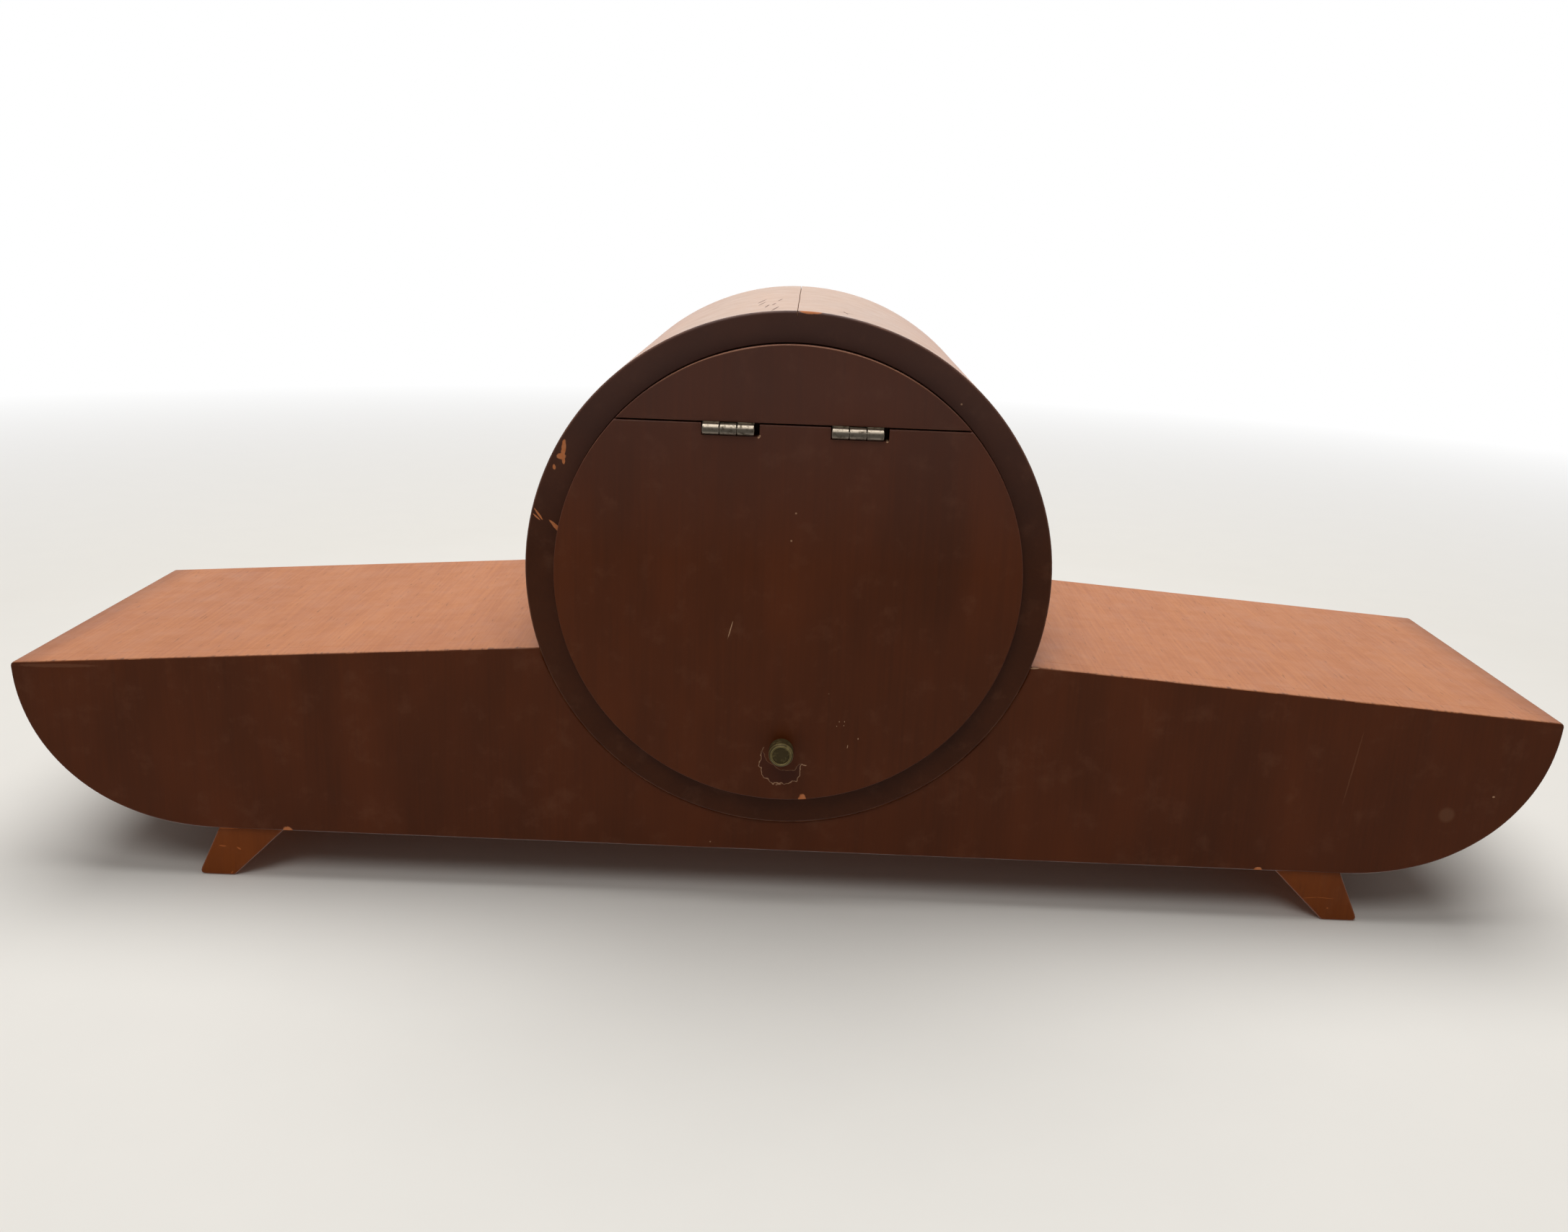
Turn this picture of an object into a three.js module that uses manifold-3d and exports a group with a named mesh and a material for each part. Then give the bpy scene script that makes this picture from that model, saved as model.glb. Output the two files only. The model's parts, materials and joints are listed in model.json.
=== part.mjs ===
// A chiming table clock: a round drum on a long boat-shaped base, with its movement, pendulum and gongs.
// Millimetres, +Z up. The dial faces -Y and the back door +Y. The origin is on the table under the middle.
import * as THREE from "three";
import { mergeVertices } from "three/addons/utils/BufferGeometryUtils.js";
import Module from "manifold-3d";

const wasm = await Module();
wasm.setup();

// Clearances
const FIT = 0.3; // between pieces that lie against each other
const RUN = 0.3; // around a piece that turns in a hole
const DOOR_PLAY = 1; // around the door, whose thick edge dips as it swings out

// Base
const CASE_LENGTH = 600;
const CASE_DEPTH = 148;
const SIDE_HEIGHT = 66.5; // from the flat underside to the sharp top edge at each end
const TOP_RISE = 21; // from the tips up to where the top boards would meet
const END_RUN = 76; // from a tip in to where the underside is flat
const END_POWER = 2.1; // 2 makes each end an ellipse, more makes it fuller
const BOARD = 9;

// Feet
const FOOT_HEIGHT = 21.5;
const FOOT_TOP = 26.5;
const FOOT_SOLE = 14.5;
const FOOT_SPLAY = 10; // how far the outer edge leans out on its way down
const FOOT_INSET = 2; // from the front and back of the base

// Drum
const DRUM_RADIUS = 99;
const HOOP_WALL = 10.5;
const UNDER_DRUM = 4; // space between the drum and the underside board
const DRUM_BACK_PROUD = 1.5;
const DRUM_FRONT_PROUD = 23;
const HOOP_OPEN_ANGLE = 25; // degrees below level where the hoop opens into the base
const HOOP_BACK_RIM = 23.5; // closed rims that stay in front of and behind that opening
const HOOP_FRONT_RIM = 47;
const LEDGE_WIDTH = 10;
const LEDGE_THICK = 4;

// Round back: fixed segment and door
const DISC_PROUD = 4.5;
const DOOR_THICK = 12;
const SEGMENT_HEIGHT = 28.5; // from the seam up to the top of the round back
const SEAM_GAP = 0.5;

// Back hinges
const HINGE_SPREAD = 23.5; // from the middle of the clock to the middle of a hinge
const HINGE_LENGTH = 19;
const HINGE_PROUD = 0.3; // pin's axis beyond the door's face
const KNUCKLE_RADIUS = 2.1;
const HINGE_PIN_RADIUS = 0.9;
const LEAF_THICK = 0.8;
const LEAF_DEPTH = 9;
const LEAF_PLAY = 0.2; // between the two leaves of a shut hinge

// Knob and catch
const KNOB_IN = 21.7; // knob's middle in from the door's lowest edge
const KNOB_RADIUS = 4.7;
const KNOB_PROUD = 9;
const KNOB_NECK = 3.5;
const KNOB_NECK_LENGTH = 1.4;
const KNOB_FLARE = 0.9; // length of the cone from the neck to the grip
const KNOB_CHAMFER = 0.8;
const KNOB_SHAFT = 2;
const CATCH_THICK = 2;
const CATCH_WIDTH = 7;
const CATCH_HOLD = 4; // how far the catch reaches behind the ledge

// Dial, bezel and glass
const DIAL_RECESS = 3; // dial board behind the drum's front edge
const DIAL_OPENING = 46;
const DIAL_IN = 3; // dial's edge in from the bezel's rim
const DIAL_THICK = 1;
const DIAL_HOLE = 4.5;
const BEZEL_IN = 9.5; // bezel's rim in from the hoop, with room for its hinge
const BEZEL_DEPTH = 8.7;
const BEZEL_LIP = 2; // lip that holds the glass
const BEZEL_LIP_SINK = 1; // inner edge of the lip behind the bezel's front
const BEZEL_LIP_THICK = 1.6;
const BEZEL_SHOULDER = 4.5; // from the glass out to where the rim rounds over
const BEZEL_FALL = 1.6; // shoulder behind the bezel's front
const BEZEL_EDGE = 2.6; // straight part of the rim at the back
const GLASS_IN = 7.8; // glass's edge in from the bezel's rim
const GLASS_THICK = 1.5;
const GLASS_PROUD = 2; // top of the glass beyond the bezel
const BEZEL_PIN_RADIUS = 0.9;
const BEZEL_KNUCKLE = 2;
const BEZEL_KNUCKLE_LENGTH = 5.5;
const BEZEL_PIN_OUT = 3.5; // pin's axis beyond the bezel's rim
const BEZEL_PIN_PROUD = 0.5; // pin's axis in front of the drum
const BEZEL_ARM = 2; // thickness of the arm from the rim to its knuckle
const BRACKET_MARGIN = 1; // bracket's plate beyond its knuckles

// Hands
const MINUTE_TIP_IN = 16; // minute hand's tip in from the dial's edge
const MINUTE_WIDTH = 4;
const HOUR_TIP_IN = 34; // hour hand's tip in from the dial's edge
const HOUR_WIDTH = 5.2;
const HAND_THICK = 0.6;
const HAND_GAP = 1.1;
const HAND_BOSS = 1.8; // wall of a hand's boss
const HAND_FIT = 0.2; // between a boss and its pipe
const HAND_NUT_RADIUS = 3.4;
const HAND_NUT_THICK = 0.9;
const SHOWN_HOUR = 10;
const SHOWN_MINUTE = 9;

// Movement frame
const PLATE = 2;
const PLATE_GAP = 40;
const PLATE_HALF_WIDTH = 53;
const PLATE_UP = 57;
const PLATE_DOWN = 53;
const POST_LENGTH = 15;
const POST_RADIUS = 3;
const PILLAR_RADIUS = 4;
const PILLAR_WAIST = 3;
const CORNER_IN = 6; // pillar and post centres in from the plates' edges
const PIVOT = 0.7;
const ARBOR = 0.9;
const CENTRE_ARBOR = 1.9;

// Wheels: teeth and tooth modules
const WHEEL = 1.5;
const LEVEL_GAP = 1.5;
const SPOKES = 4;
const SPOKE_SHARE = 0.24; // share of a turn that the spokes fill
const HUB_SHARE = 0.35; // hub of a spoked wheel as a share of its rim's inside
const RIM_MODULES = 4; // rim of a spoked wheel, from its pitch circle in
const PINION_WIDTH = 5;
const BARREL_TEETH = 48;
const CENTRE_LEAVES = 8;
const BARREL_MODULE = 1;
const BARREL_DROP = 20; // degrees of each barrel below level, seen from the centre
const BARREL_SET = 4; // barrels behind the front plate
const BARREL_DEPTH = 20;
const BARREL_WALL_IN = 3; // drum of a barrel inside its toothed rim
const FLANGE = 2.5;
const CENTRE_TEETH = 66;
const THIRD_LEAVES = 6;
const CENTRE_MODULE = 0.6;
const THIRD_ANGLE = 54.5;
const THIRD_TEETH = 72;
const ESCAPE_LEAVES = 6;
const THIRD_MODULE = 0.52;
const ESCAPE_TEETH = 40;
const ESCAPE_RADIUS = 12;
const ESCAPE_TOOTH = 1.7;
const ESCAPE_RIM = 1.7;
const ESCAPE_HUB = 3.6;
const PIN_WHEEL_TEETH = 48;
const PIN_WHEEL_LEAVES = 8;
const PIN_WHEEL_ANGLE = 100;
const PIN_WHEEL_MODULE = 0.66;
const LIFT_PINS = 8;
const LIFT_PIN_LENGTH = 3;
const LIFT_PIN_RADIUS = 0.6;
const LIFT_PIN_CIRCLE = 12.3;
const FLY_LEAVES = 6;
const FLY_ANGLE = 80;
const FLY_HALF_WIDTH = 10;
const FLY_THICK = 0.8;
const FLY_SET = 2; // fly's vane in from the ends of the barrels
const CANNON_LEAVES = 8;
const MINUTE_TEETH = 24;
const MINUTE_LEAVES = 8;
const HOUR_TEETH = 32;
const CANNON_SET = 3; // motion work in front of the front plate
const MOTION_DISTANCE = 18;
const HOUR_PIPE_BORE = 2.3;
const HOUR_PIPE = 3.4;
const CANNON_PIPE = 1.8;
const STUD_PROUD = 1; // minute stud beyond its pinion
const WINDING_ARBOR = 3;
const WINDING_ROUND = 10; // round part in front of the ratchet
const WINDING_SQUARE = 4.2;
const SQUARE_PROUD = 0.5; // square in front of the dial
const RATCHET_TEETH = 18;
const RATCHET_RADIUS = 9;
const RATCHET_TOOTH = 1.4;
const RATCHET_THICK = 2;

// Escapement and pendulum
const PALLET_DISTANCE = 17; // from the escape arbor up to the pallet arbor
const PALLET_CLEAR = 1; // from tooth tips to the pallets at rest
const PALLET_SPREAD = 29; // degrees of each pallet from the line of centres
const PALLET_FACE = 2;
const ANCHOR_WAIST = 1; // anchor's arms around its arbor
const ANCHOR_TOP = 3.5; // half the width of the anchor's flat top
const PENDULUM_SET = 11; // behind the back plate
const PENDULUM_LENGTH = 115.5; // beats 10560 times an hour, as the train counts
const PENDULUM_ROD = 1.2;
const SPRING_WIDTH = 5;
const SPRING_THICK = 0.5;
const SPRING_DROP = 6; // spring below the line that the pendulum swings about
const SPRING_GRIP = 3; // spring held in the cock
const FERRULE_HALF = 1.6;
const FERRULE_LENGTH = 7;
const FERRULE_GRIP = 1; // spring and rod inside the ferrule
const BOB_RADIUS = 15;
const BOB_THICK = 8;
const NUT_HEIGHT = 3;
const NUT_RADIUS = 3.6;
const ROD_TAIL = 10; // rod below the bob
const CRUTCH_LENGTH = 34;
const CRUTCH_WIDTH = 3;
const CRUTCH_THICK = 2;
const CRUTCH_SET = 2; // behind the back plate
const PRONG_WIDTH = 1.6;
const PRONG_HEIGHT = 3;
const PRONG_REACH = 3; // prongs behind the pendulum's rod
const COCK_RISE = 1.5; // cock above the pallet arbor
const COCK_HEIGHT = 4;
const COCK_HALF_WIDTH = 6;
const COCK_BACK = 1; // cock behind the spring

// Hammers and gongs
const HAMMER_X = -40; // hammer arbor from the middle
const HAMMER_DROP = 44; // hammer arbor below the drum's centre
const HAMMER_ARBOR = 2;
const HAMMER_REACH = 48;
const HAMMER_HEAD = 4.5;
const HAMMER_HEAD_HEIGHT = 13;
const HAMMER_HUB = 6;
const HAMMER_ARM_THICK = 2.5;
const HAMMER_ARM_ROOT = 4;
const HAMMER_ARM_END = 3;
const HAMMER_GAP = 2; // from a head at rest to its gong rod
const STRAP_WIDTH = 6;
const STRAP_THICK = 4;
const STRAP_RISE = 1.5; // strap above the hammers' hubs
const STRAP_END = 2; // upright end that carries the hammers' arbor
const STRAP_FOOT = 4; // upright end below that arbor
const GONG_LENGTHS = [250, 236, 222];
const GONG_PITCH = 10;
const GONG_FIRST = 30; // first gong rod behind the back plate
const GONG_RADIUS = 1.5;
const GONG_RISE = 19.5; // rods above the underside board
const BLOCK_LENGTH = 26;
const BLOCK_MARGIN = 10;
const BLOCK_RISE = 6; // block above the rods
const BLOCK_X = -142; // face of the gong block that holds the rods

// Levels and places worked out from the sizes above
const halfLength = CASE_LENGTH / 2;
const flatHalf = halfLength - END_RUN;
const tipHeight = FOOT_HEIGHT + SIDE_HEIGHT;
const topSlope = TOP_RISE / halfLength;
const boardTop = FOOT_HEIGHT + BOARD;
const drumHeight = boardTop + UNDER_DRUM + DRUM_RADIUS;
const hoopInner = DRUM_RADIUS - HOOP_WALL;
const baseBack = CASE_DEPTH / 2;
const baseFront = -CASE_DEPTH / 2;
const drumBack = baseBack + DRUM_BACK_PROUD;
const drumFront = baseFront - DRUM_FRONT_PROUD;
const discBack = drumBack + DISC_PROUD;
const discFront = discBack - DOOR_THICK;
const discRadius = hoopInner - DOOR_PLAY;
const ledgeBack = discFront - FIT;
const ledgeFront = ledgeBack - LEDGE_THICK;
const ledgeInner = hoopInner - FIT - LEDGE_WIDTH;
const seamRise = discRadius - SEGMENT_HEIGHT;
const seamHeight = drumHeight + seamRise;
const hingeY = discBack + HINGE_PROUD;
const hingeZ = seamHeight - SEAM_GAP - KNUCKLE_RADIUS;
const bezelRadius = hoopInner - BEZEL_IN;
const glassRadius = bezelRadius - GLASS_IN;
const dialRadius = bezelRadius - DIAL_IN;
const dialBoardFront = drumFront + DIAL_RECESS;
const dialBoardBack = dialBoardFront + BOARD;
const dialFace = dialBoardFront - DIAL_THICK;
const bezelBack = dialFace - FIT;
const bezelFront = bezelBack - BEZEL_DEPTH;
const glassApex = bezelFront - GLASS_PROUD;
const knobEnd = discBack + KNOB_PROUD;
const plateFace = dialBoardBack + POST_LENGTH;
const frontInner = plateFace + PLATE;
const backInner = frontInner + PLATE_GAP;
const backOuter = backInner + PLATE;
const barrelFront = frontInner + BARREL_SET;
const barrelBack = barrelFront + BARREL_DEPTH;
const centreLevel = barrelBack + LEVEL_GAP;
const pinLevel = centreLevel + WHEEL + LEVEL_GAP;
const thirdLevel = pinLevel + WHEEL + LEVEL_GAP;
const escapeLevel = barrelFront + BARREL_DEPTH / 2;
const cannonBack = plateFace - CANNON_SET;
const cannonFront = cannonBack - PINION_WIDTH;
const minuteLevel = (cannonBack + cannonFront - WHEEL) / 2;
const minutePinionFront = minuteLevel - PINION_WIDTH - LEVEL_GAP / 2;
const hourLevel = minutePinionFront + LEVEL_GAP;
const hourHandBack = dialFace - HAND_GAP - HAND_THICK / 2;
const minuteHandBack = hourHandBack - HAND_THICK - HAND_GAP;
const minuteHandFront = minuteHandBack - HAND_THICK;
const handNutBack = minuteHandFront - RUN;
const handNutFront = handNutBack - HAND_NUT_THICK;
const pendulumY = backOuter + PENDULUM_SET;
const gongHeight = boardTop + GONG_RISE;
const hammerZ = drumHeight - HAMMER_DROP;
const bezelPinX = -bezelRadius - BEZEL_PIN_OUT;
const bezelPinY = drumFront - BEZEL_PIN_PROUD;

// Solids

const vector = (x, y) => new THREE.Vector2(x, y);
const polar = (radius, angle) => vector(radius * Math.cos(angle), radius * Math.sin(angle));
const radians = THREE.MathUtils.degToRad;

function solidOf(geometry) {
  const bare = geometry.clone();
  bare.deleteAttribute("normal");
  bare.deleteAttribute("uv");
  const merged = mergeVertices(bare, 1e-4);
  const mesh = new wasm.Mesh({
    numProp: 3,
    vertProperties: merged.attributes.position.array,
    triVerts: new Uint32Array(merged.index.array),
  });
  return new wasm.Manifold(mesh);
}

function geometryOf(solid) {
  const mesh = solid.getMesh();
  const geometry = new THREE.BufferGeometry();
  geometry.setAttribute("position", new THREE.BufferAttribute(mesh.vertProperties, 3));
  geometry.setIndex(new THREE.BufferAttribute(mesh.triVerts, 1));
  geometry.computeVertexNormals();
  return geometry;
}

function joined(first, ...others) {
  return geometryOf(others.reduce((sum, geometry) => sum.add(solidOf(geometry)), solidOf(first)));
}

function cut(first, ...tools) {
  return geometryOf(tools.reduce((left, geometry) => left.subtract(solidOf(geometry)), solidOf(first)));
}

function common(first, second) {
  return geometryOf(solidOf(first).intersect(solidOf(second)));
}

// A flat outline in (x, z), drawn out along Y.
function alongY(shape, from, to, steps = 12) {
  const options = { depth: to - from, bevelEnabled: false, curveSegments: steps };
  const geometry = new THREE.ExtrudeGeometry(shape, options);
  geometry.rotateX(Math.PI / 2);
  return geometry.translate(0, to, 0);
}

// A box between two corners.
function block(x0, x1, y0, y1, z0, z1) {
  const geometry = new THREE.BoxGeometry(x1 - x0, y1 - y0, z1 - z0);
  return geometry.translate((x0 + x1) / 2, (y0 + y1) / 2, (z0 + z1) / 2);
}

// A round bar along X, Y or Z from one level to another.
function bar(axis, radius, from, to, sides = 16) {
  const geometry = new THREE.CylinderGeometry(radius, radius, to - from, sides);
  geometry.translate(0, (from + to) / 2, 0);
  if (axis === "x") geometry.rotateZ(-Math.PI / 2);
  if (axis === "z") geometry.rotateX(Math.PI / 2);
  return geometry;
}

// A piece turned about Y. The profile runs anticlockwise in (radius, y), from the axis back to the axis.
function turned(profile, sides) {
  return new THREE.LatheGeometry(profile.map(([radius, y]) => vector(radius, y)), sides);
}

// A turned ring, whose profile closes on itself.
function turnedRing(profile, sides) {
  return turned([...profile, profile[0]], sides);
}

function tubeAlongY(inner, outer, from, to, sides) {
  return turnedRing([[inner, from], [outer, from], [outer, to], [inner, to]], sides);
}

function circle(radius, sides, x = 0, z = 0) {
  const points = [];
  for (let side = 0; side < sides; side++) {
    points.push(polar(radius, (2 * Math.PI * side) / sides).add(vector(x, z)));
  }
  return points;
}

// Toothed wheels

// Share of the pitch that a tooth fills at its foot, and its heights in modules. Tips are pointed.
const WHEEL_TOOTH = { foot: 0.6, above: 1, below: 1.2 };
const PINION_LEAF = { foot: 0.46, above: 0.8, below: 1.2 };

function toothOutline(teeth, size, phase, tooth) {
  const pitch = (2 * Math.PI) / teeth;
  const tip = (teeth / 2 + tooth.above) * size;
  const foot = (teeth / 2 - tooth.below) * size;
  const points = [];
  for (let index = 0; index < teeth; index++) {
    const middle = phase + index * pitch;
    points.push(polar(foot, middle - (tooth.foot * pitch) / 2));
    points.push(polar(tip, middle));
    points.push(polar(foot, middle + (tooth.foot * pitch) / 2));
  }
  return points;
}

// Window between two spokes of a wheel.
function spokeWindow(inner, outer, from, to) {
  const middle = (from + to) / 2;
  return [polar(inner, from), polar(outer, from), polar(outer, middle), polar(outer, to), polar(inner, to)];
}

function addSpokes(shape, hub, rim) {
  for (let spoke = 0; spoke < SPOKES; spoke++) {
    const from = (2 * Math.PI * (spoke + SPOKE_SHARE / 2)) / SPOKES;
    const to = (2 * Math.PI * (spoke + 1 - SPOKE_SHARE / 2)) / SPOKES;
    shape.holes.push(new THREE.Path(spokeWindow(hub, rim, from, to)));
  }
}

function wheel(gear, bore, from, to, spoked = false) {
  const shape = new THREE.Shape(toothOutline(gear.teeth, gear.size, gear.phase, WHEEL_TOOTH));
  shape.holes.push(new THREE.Path(circle(bore, 8)));
  const rim = (gear.teeth / 2 - RIM_MODULES) * gear.size;
  if (spoked) addSpokes(shape, HUB_SHARE * rim, rim);
  return alongY(shape, from, to);
}

function pinion(gear, from, to) {
  return alongY(new THREE.Shape(toothOutline(gear.teeth, gear.size, gear.phase, PINION_LEAF)), from, to);
}

const gearDistance = (first, second, size) => ((first + second) / 2) * size;

// Phase that puts a gap of the second wheel where the first has a tooth on the line between them.
function meshed(first, at, second, place) {
  const line = Math.atan2(place.z - at.z, place.x - at.x);
  const firstPitch = (2 * Math.PI) / first.teeth;
  const secondPitch = (2 * Math.PI) / second.teeth;
  const share = (line - first.phase) / firstPitch;
  return { ...second, phase: line + Math.PI + (share + 0.5) * secondPitch };
}

function placeFrom(at, distance, degrees) {
  const step = polar(distance, radians(degrees));
  return { x: at.x + step.x, z: at.z + step.y };
}

// Arbor places
const barrelDistance = gearDistance(BARREL_TEETH, CENTRE_LEAVES, BARREL_MODULE);
const centreDistance = gearDistance(CENTRE_TEETH, THIRD_LEAVES, CENTRE_MODULE);
const thirdDistance = gearDistance(THIRD_TEETH, ESCAPE_LEAVES, THIRD_MODULE);
const pinDistance = gearDistance(BARREL_TEETH, PIN_WHEEL_LEAVES, BARREL_MODULE);
const flyDistance = gearDistance(PIN_WHEEL_TEETH, FLY_LEAVES, PIN_WHEEL_MODULE);
const centre = { x: 0, z: drumHeight };
const going = placeFrom(centre, barrelDistance, -BARREL_DROP);
const strike = placeFrom(centre, barrelDistance, 180 + BARREL_DROP);
const third = placeFrom(centre, centreDistance, THIRD_ANGLE);
const escape = { x: 0, z: third.z + Math.sqrt(thirdDistance ** 2 - third.x ** 2) };
const pallet = { x: 0, z: escape.z + PALLET_DISTANCE };
const pinWheel = placeFrom(strike, pinDistance, PIN_WHEEL_ANGLE);
const fly = placeFrom(pinWheel, flyDistance, FLY_ANGLE);
const minuteStud = { x: 0, z: drumHeight + MOTION_DISTANCE };
const hammerPlace = { x: HAMMER_X, z: hammerZ };

// Gears with their phases, so that teeth meet gaps at rest
const goingGear = { teeth: BARREL_TEETH, size: BARREL_MODULE, phase: 0 };
const centrePinionForm = { teeth: CENTRE_LEAVES, size: BARREL_MODULE };
const centrePinion = meshed(goingGear, going, centrePinionForm, centre);
const centreGear = { teeth: CENTRE_TEETH, size: CENTRE_MODULE, phase: 0 };
const thirdPinion = meshed(centreGear, centre, { teeth: THIRD_LEAVES, size: CENTRE_MODULE }, third);
const thirdGear = { teeth: THIRD_TEETH, size: THIRD_MODULE, phase: 0 };
const escapePinion = meshed(thirdGear, third, { teeth: ESCAPE_LEAVES, size: THIRD_MODULE }, escape);
const strikeGear = { teeth: BARREL_TEETH, size: BARREL_MODULE, phase: 0 };
const pinPinion = meshed(strikeGear, strike, { teeth: PIN_WHEEL_LEAVES, size: BARREL_MODULE }, pinWheel);
const pinGear = { teeth: PIN_WHEEL_TEETH, size: PIN_WHEEL_MODULE, phase: 0 };
const flyPinion = meshed(pinGear, pinWheel, { teeth: FLY_LEAVES, size: PIN_WHEEL_MODULE }, fly);
const cannonSize = (2 * MOTION_DISTANCE) / (CANNON_LEAVES + MINUTE_TEETH);
const hourSize = (2 * MOTION_DISTANCE) / (MINUTE_LEAVES + HOUR_TEETH);
const cannon = { teeth: CANNON_LEAVES, size: cannonSize, phase: 0 };
const minuteGear = meshed(cannon, centre, { teeth: MINUTE_TEETH, size: cannonSize }, minuteStud);
const minutePinion = { teeth: MINUTE_LEAVES, size: hourSize, phase: 0 };
const hourGear = meshed(minutePinion, minuteStud, { teeth: HOUR_TEETH, size: hourSize }, centre);

// The scene graph: one named mesh for each piece, in a group that centres the clock over the origin

const FINISHES = {
  stainedWood: { color: 0x4a2413, roughness: 0.4, metalness: 0 },
  litWood: { color: 0x8a4e30, roughness: 0.4, metalness: 0 },
  innerWood: { color: 0xb08a5c, roughness: 0.8, metalness: 0 },
  brass: { color: 0xb08d45, roughness: 0.35, metalness: 1 },
  agedBrass: { color: 0x5b4a2c, roughness: 0.5, metalness: 1 },
  steel: { color: 0x8c8a86, roughness: 0.4, metalness: 1 },
  bluedSteel: { color: 0x20232c, roughness: 0.35, metalness: 1 },
  castIron: { color: 0x2b2b2d, roughness: 0.75, metalness: 0.6 },
  dialPaint: { color: 0xe8dfc6, roughness: 0.6, metalness: 0 },
  glass: { color: 0xf2f6f5, roughness: 0.05, metalness: 0, transparent: true, opacity: 0.25 },
};

const works = new THREE.Group();
works.position.y = -(glassApex + knobEnd) / 2;

function add(name, finish, geometry, place = { x: 0, z: 0 }) {
  const mesh = new THREE.Mesh(geometry, new THREE.MeshStandardMaterial(FINISHES[finish]));
  mesh.name = name;
  mesh.position.set(place.x, 0, place.z);
  works.add(mesh);
}

// Base: the boat outline, its walls and its feet

const topHeight = (x) => tipHeight + topSlope * (halfLength - Math.abs(x));

// Points of one end curve, from the tip down to the flat underside, drawn in by a wall.
function endCurve(side, wall) {
  const steps = 14;
  const points = [];
  for (let step = 0; step <= steps; step++) {
    const turn = (Math.PI / 2) * (step / steps);
    const out = (END_RUN - wall) * Math.cos(turn) ** (2 / END_POWER);
    const down = (SIDE_HEIGHT - wall) * Math.sin(turn) ** (2 / END_POWER);
    points.push(vector(side * (flatHalf + out), tipHeight - down));
  }
  return points;
}

// Boat outline, anticlockwise: ridge, left tip, underside, right tip.
function boatShape(wall) {
  const ridge = vector(0, topHeight(0));
  return new THREE.Shape([ridge, ...endCurve(-1, wall), ...endCurve(1, wall).reverse()]);
}

// Everything above a line that runs below the top boards at a given depth.
function roofShape(depth) {
  const reach = halfLength + BOARD;
  const high = topHeight(0) + BOARD;
  return new THREE.Shape([
    vector(0, topHeight(0) - depth),
    vector(reach, topHeight(reach) - depth),
    vector(reach, high),
    vector(-reach, high),
    vector(-reach, topHeight(reach) - depth),
  ]);
}

const drumSides = 60;
const drumHole = bar("y", DRUM_RADIUS + FIT, drumFront, drumBack, drumSides).translate(0, 0, drumHeight);
const innerFront = baseFront + BOARD;
const innerBack = baseBack - BOARD;

add("base_back_panel", "stainedWood", cut(alongY(boatShape(0), innerBack, baseBack), drumHole));
add("base_front_panel", "stainedWood", cut(alongY(boatShape(0), baseFront, innerFront), drumHole));

const boatBody = alongY(boatShape(0), innerFront, innerBack);
const roof = common(boatBody, alongY(roofShape(BOARD), innerFront, innerBack));
for (const [name, side] of [["base_top_board_left", 1], ["base_top_board_right", -1]]) {
  const far = side * CASE_LENGTH;
  const half = block(Math.min(0, far), Math.max(0, far), innerFront, innerBack, 0, CASE_LENGTH);
  add(name, "litWood", cut(common(roof, half), drumHole));
}

const hollow = alongY(boatShape(BOARD), innerFront, innerBack);
const underRoof = alongY(roofShape(BOARD + FIT), innerFront, innerBack);
add("base_bottom_board", "stainedWood", cut(boatBody, hollow, underRoof));

for (const [name, side] of [["foot_left", 1], ["foot_right", -1]]) {
  const corners = [
    vector(side * (flatHalf - FOOT_TOP), FOOT_HEIGHT),
    vector(side * flatHalf, FOOT_HEIGHT),
    vector(side * (flatHalf + FOOT_SPLAY), 0),
    vector(side * (flatHalf + FOOT_SPLAY - FOOT_SOLE), 0),
  ];
  add(name, "stainedWood", alongY(new THREE.Shape(corners), baseFront + FOOT_INSET, baseBack - FOOT_INSET));
}

// Drum: hoop, dial board and the ledge that the door closes against

const middle = { x: 0, z: drumHeight };
const hoopOpening = new THREE.Shape([
  vector(0, 0),
  polar(3 * DRUM_RADIUS, -Math.PI + radians(HOOP_OPEN_ANGLE)),
  polar(3 * DRUM_RADIUS, -radians(HOOP_OPEN_ANGLE)),
]);
add(
  "drum_hoop",
  "stainedWood",
  cut(
    tubeAlongY(hoopInner, DRUM_RADIUS, drumFront, drumBack, drumSides),
    alongY(hoopOpening, drumFront + HOOP_FRONT_RIM, drumBack - HOOP_BACK_RIM),
  ),
  middle,
);
add("dial_board", "stainedWood",
  tubeAlongY(DIAL_OPENING, hoopInner - FIT, dialBoardFront, dialBoardBack, 40), middle);
add("door_ledge", "innerWood", tubeAlongY(ledgeInner, hoopInner - FIT, ledgeFront, ledgeBack, 40), middle);

// Round back: segment above the seam, door below it, with room for the hinges

const leafInnerY = hingeY - LEAF_DEPTH;
const caseLeafLow = seamHeight - SEAM_GAP / 2 + LEAF_PLAY / 2;
const doorLeafHigh = caseLeafLow - LEAF_PLAY;
const hingeNotches = [];
const caseMortises = [];
for (const side of [1, -1]) {
  const from = side * HINGE_SPREAD - HINGE_LENGTH / 2 - FIT;
  const to = side * HINGE_SPREAD + HINGE_LENGTH / 2 + FIT;
  const outside = hingeY + LEAF_DEPTH;
  const notchLow = hingeZ - KNUCKLE_RADIUS - FIT;
  const notchInner = hingeY - KNUCKLE_RADIUS - FIT;
  hingeNotches.push(block(from, to, notchInner, outside, notchLow, seamHeight));
  hingeNotches.push(block(from, to, leafInnerY - FIT, outside, doorLeafHigh - LEAF_THICK - FIT, seamHeight));
  const mortiseHigh = caseLeafLow + LEAF_THICK + FIT;
  caseMortises.push(block(from, to, leafInnerY - FIT, outside, hingeZ, mortiseHigh));
}

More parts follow.
